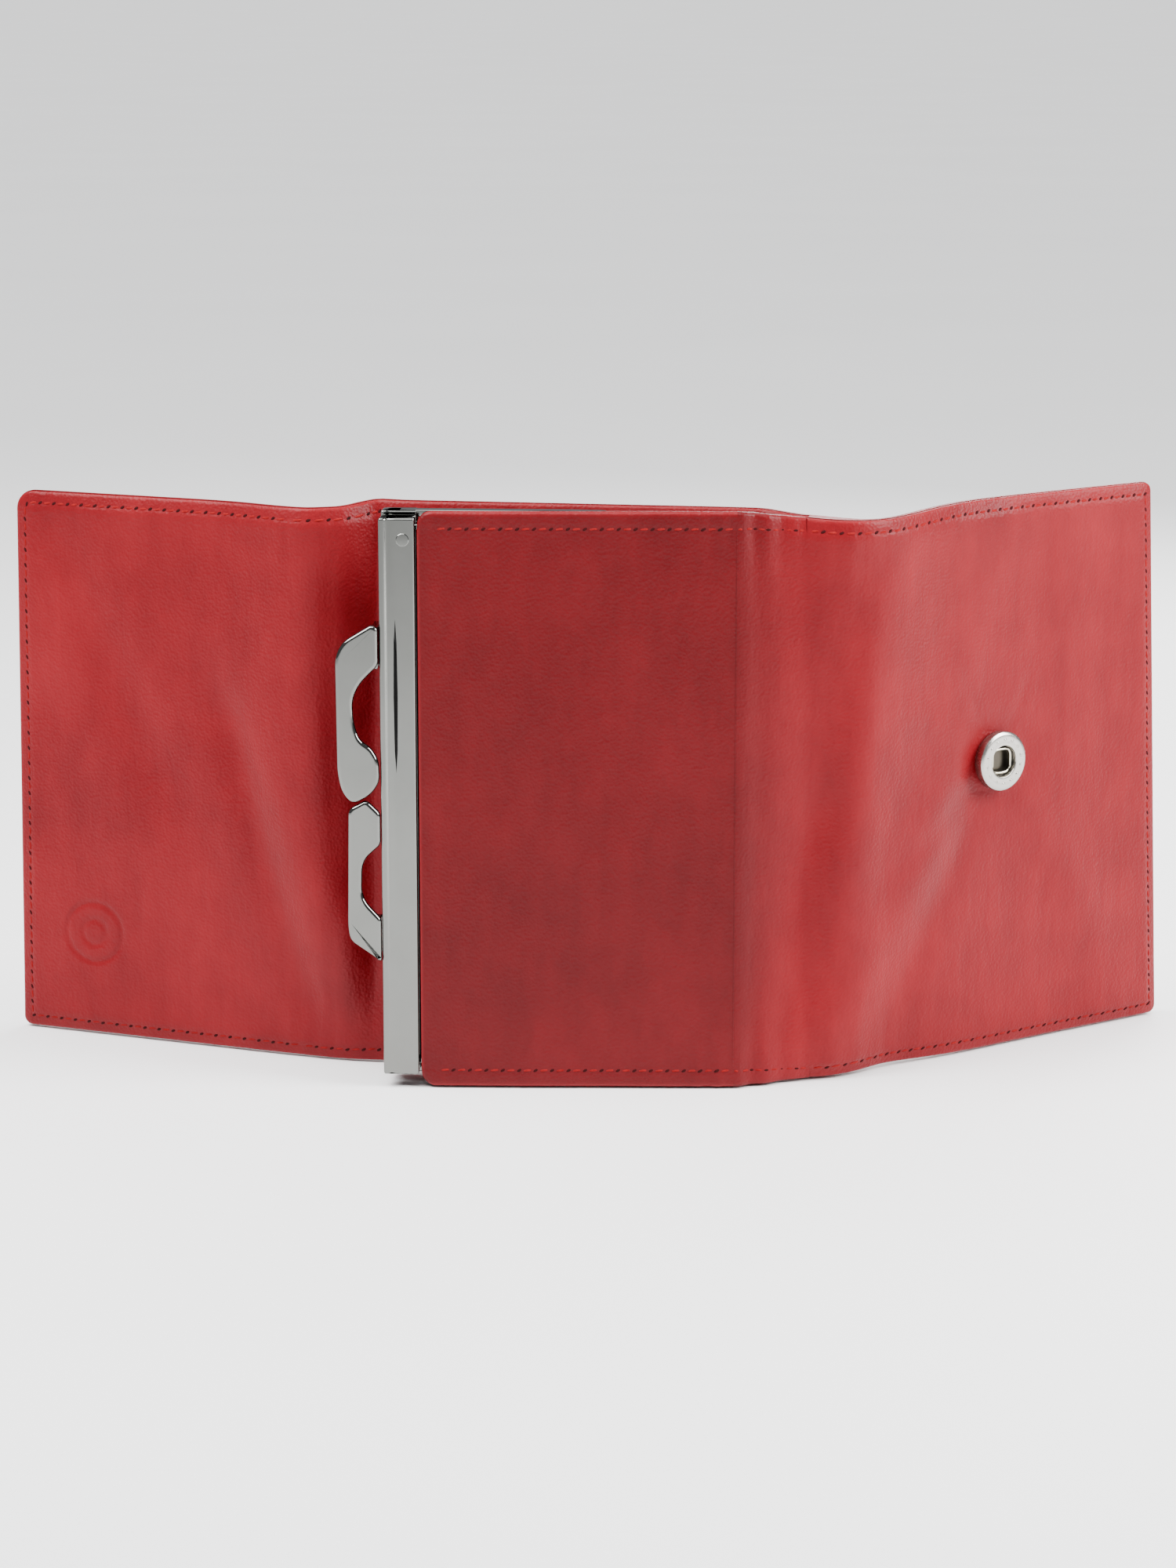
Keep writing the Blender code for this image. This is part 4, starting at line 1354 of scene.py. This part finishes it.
def turned(name, profile, base, axis, look, sides=64):
    """A round piece about an axis from (radius, level) points; a radius of 0 closes an end."""
    side = np.cross(axis, (0.0, 0.0, 1.0))
    side /= np.linalg.norm(side)
    up = np.cross(side, axis)
    points, faces, rings = [], [], []
    for radius, level in profile:
        if radius == 0:
            rings.append([len(points)])
            points.append(base + axis * level)
            continue
        rings.append(list(range(len(points), len(points) + sides)))
        for k in range(sides):
            turn = 2 * pi * k / sides
            points.append(base + axis * level + radius * (cos(turn) * side + sin(turn) * up))
    pairs = list(zip(rings, rings[1:]))
    if profile[0][0] and profile[-1][0]:
        pairs.append((rings[-1], rings[0]))
    for first, second in pairs:
        for k in range(sides):
            j = (k + 1) % sides
            corners = ((first, k), (first, j), (second, j), (second, k))
            face = list(dict.fromkeys(ring[i % len(ring)] for ring, i in corners))
            if len(face) > 2:
                faces.append(tuple(face))
    return mesh_object(name, np.array(points) * MM, faces, look, 32.0)


def snap_pieces(looks):
    inward = np.array([RIGHT_WING_WAY[1], -RIGHT_WING_WAY[0], 0.0])
    along = np.array([*RIGHT_WING_WAY, 0.0])
    foot = np.array([*(RIGHT_WING_FOLD + RIGHT_WING_WAY * (SNAP_S - S_R2)), SNAP_Z])
    face = LINING_FACE + 1.6
    socket = [
        (4.7, LINING_FACE - 0.5), (5.0, LINING_FACE), (5.05, face - 0.6), (4.95, face - 0.28),
        (4.7, face - 0.08), (4.35, face), (3.9, face - 0.02), (3.2, face - 0.06),
        (2.95, face - 0.02), (2.72, face - 0.1), (2.6, face - 0.3), (2.6, face - 0.55),
        (3.05, face - 0.62), (3.05, face - 1.2), (2.6, face - 1.25), (2.6, LINING_FACE - 0.5),
    ]
    ring = turned("snap_socket_ring", socket, foot, inward, looks["satin"])
    dots = []
    for k in range(14):
        turn = 2 * pi * k / 14 + 0.2
        way = cos(turn) * along + sin(turn) * np.array([0.0, 0.0, 1.0])
        centre = foot + way * 3.72 + inward * (face - 0.1)
        dots.append((*bead(centre, np.cross(way, inward), inward, 0.42, 0.26, 0.2), 0))
    marks = join_meshes("snap_socket_dots", dots, (looks["satin"],))
    # The well floor is metal darkened with painted shade of the recess.
    well = [(0.0, -0.6), (2.62, -0.6), (2.62, -0.25), (0.0, -0.2)]
    well = [(radius, LINING_FACE + level) for radius, level in well]
    floor = turned("snap_socket_floor", well, foot, inward, looks["floor"], 32)
    level = face - 0.85
    square = [(-2.0, -2.0), (2.0, -2.0), (2.0, 2.0), (-2.0, 2.0)]
    outline = rounded(square, (1.3,) * 4)
    loop = [foot + p[0] * along + p[1] * np.array([0, 0, 1.0]) + inward * level for p in outline]
    loop = loop[3:] + loop[:2]
    spring = join_meshes("snap_spring_wire", [(*capsule(loop, 0.26, 8), 0)], (looks["wire"],))
    slots = ((ring, "snap_metal"), (marks, "snap_metal"), (floor, "snap_brass"), (spring, "snap_brass"))
    for piece, slot_name in slots:
        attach(piece, "right_wing")
    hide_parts("snap_socket")
    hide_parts("snap_spring")

    outer = -OUTER_FACE
    cap = [
        (0.0, -outer - 0.2), (5.3, -outer - 0.2), (5.6, -outer + 0.1), (5.6, outer - 0.25),
        (5.4, outer + 0.15), (4.9, outer + 0.42), (3.9, outer + 0.66), (2.4, outer + 0.84),
        (0.0, outer + 0.92),
    ]
    lid = turned("snap_cap_dome", [(r, z - outer + 0.5) for r, z in cap], foot, -inward, looks["satin"])
    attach(lid, "right_wing")
    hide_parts("snap_cap")

    stud = plate_points("snap_stud")
    out = np.array([-LEFT_WING_WAY[1], LEFT_WING_WAY[0], 0.0])
    out = out if out[1] > 0 else -out
    centre = (stud.max(0) + stud.min(0)) / 2
    along_left = np.array([*LEFT_WING_WAY, 0.0])
    reach = float((centre[:2] - LEFT_WING_FOLD) @ LEFT_WING_WAY)
    root = np.array([*LEFT_WING_FOLD, SNAP_Z]) + along_left * reach
    profile = [
        (0.0, 0.1), (3.3, 0.1), (3.3, 0.5), (3.05, 0.62), (1.7, 0.68), (1.35, 0.78), (1.35, 1.0),
        (1.9, 1.25), (2.0, 1.42), (1.9, 1.6), (1.45, 1.72), (0.0, 1.76),
    ]
    post = turned("snap_stud_post", profile, root, out, looks["satin"], 48)
    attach(post, "left_wing")
    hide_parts("snap_stud")


# ---------------------------------------------------------------- carried-over nodes, stage, lights, camera


def dress_nodes(looks):
    finishes = {
        "hinge_rivet_top": "chrome",
        "hinge_rivet_bottom": "chrome",
        "rear_channel_cord": "paper",
        "front_channel_cord": "paper",
        "stud_washer": "brass",
    }
    for name, look in finishes.items():
        frame["nodes"][name].data.materials.clear()
        frame["nodes"][name].data.materials.append(looks[look])


def stage():
    size = 30.0
    mesh = bpy.data.meshes.new("floor")
    corners = [(-size, -size, 0.0), (size, -size, 0.0), (size, size, 0.0), (-size, size, 0.0)]
    mesh.from_pydata(corners, [], [(0, 1, 2, 3)])
    floor = add_object("floor", mesh)
    floor.location = (0.0, 0.0, -0.0003)
    made, tree, shader = new_material("pale_floor", (0.9, 0.9, 0.9), 0.75)
    shade = noise(tree, place(tree), 6.0, 2.0)
    colour = ramp(tree, shade, [(0.2, (0.89, 0.89, 0.89)), (0.8, (0.92, 0.92, 0.92))])
    join(tree, shader, Base_Color=colour)
    mesh.materials.append(made)


def direction_from(azimuth, elevation):
    """The way from the purse to a light or a camera; azimuth 0 is in front, 90 to the right."""
    a, e = radians(azimuth), radians(elevation)
    return Vector((sin(a) * cos(e), -cos(a) * cos(e), sin(e)))


def aimed(name, data, location, back):
    """An object that faces against the direction back."""
    obj = add_object(name, data)
    obj.location = location
    obj.rotation_mode = "QUATERNION"
    obj.rotation_quaternion = back.to_track_quat("Z", "Y")
    return obj


def soft_light(name, azimuth, elevation, distance, size, watts):
    """A rectangular light that faces the purse."""
    data = bpy.data.lights.new(name, "AREA")
    data.shape = "RECTANGLE"
    data.size, data.size_y = size
    data.energy = watts
    back = direction_from(azimuth, elevation)
    aimed(name, data, Vector((0.0, 0.0, MID_HEIGHT * MM)) + back * distance, back)


def lights():
    soft_light("left", -58.0, 52.0, 0.42, (0.24, 0.28), 3.3)
    soft_light("right", 84.0, 30.0, 0.55, (0.26, 0.34), 7.2)
    soft_light("behind", 165.0, 30.0, 0.6, (0.3, 0.3), 3.5)
    sun = bpy.data.lights.new("overhead", "SUN")
    sun.energy = 4.1
    sun.angle = radians(50.0)
    lamp = add_object("overhead", sun)
    lamp.rotation_euler = (radians(14.0), radians(-6.0), 0.0)
    world = bpy.data.worlds.new("studio")
    bpy.context.scene.world = world
    world.use_nodes = True
    background = world.node_tree.nodes["Background"]
    background.inputs["Color"].default_value = (0.95, 0.97, 1.0, 1.0)
    background.inputs["Strength"].default_value = 0.3


CAMERA_AZIMUTH = 8.83
CAMERA_ELEVATION = 12.0
CAMERA_PLACE = (0.1027, -0.6224, 0.1822)


def camera():
    data = bpy.data.cameras.new("camera")
    data.lens = 90.0
    data.sensor_width = 36.0
    data.clip_start = 0.05
    data.clip_end = 60.0
    back = direction_from(CAMERA_AZIMUTH, CAMERA_ELEVATION)
    bpy.context.scene.camera = aimed("camera", data, CAMERA_PLACE, back)


def clear_startup():
    for obj in list(bpy.data.objects):
        if obj.name in ("Cube", "Light", "Camera"):
            bpy.data.objects.remove(obj, do_unlink=True)


clear_startup()
camera()
looks = make_looks()
build_cover(looks)
front_leather(looks)
rear_wall(looks)
end_welt(looks)
gussets(looks)
seam_band(looks)
metal_frame(looks)
snap_pieces(looks)
dress_nodes(looks)
stage()
lights()
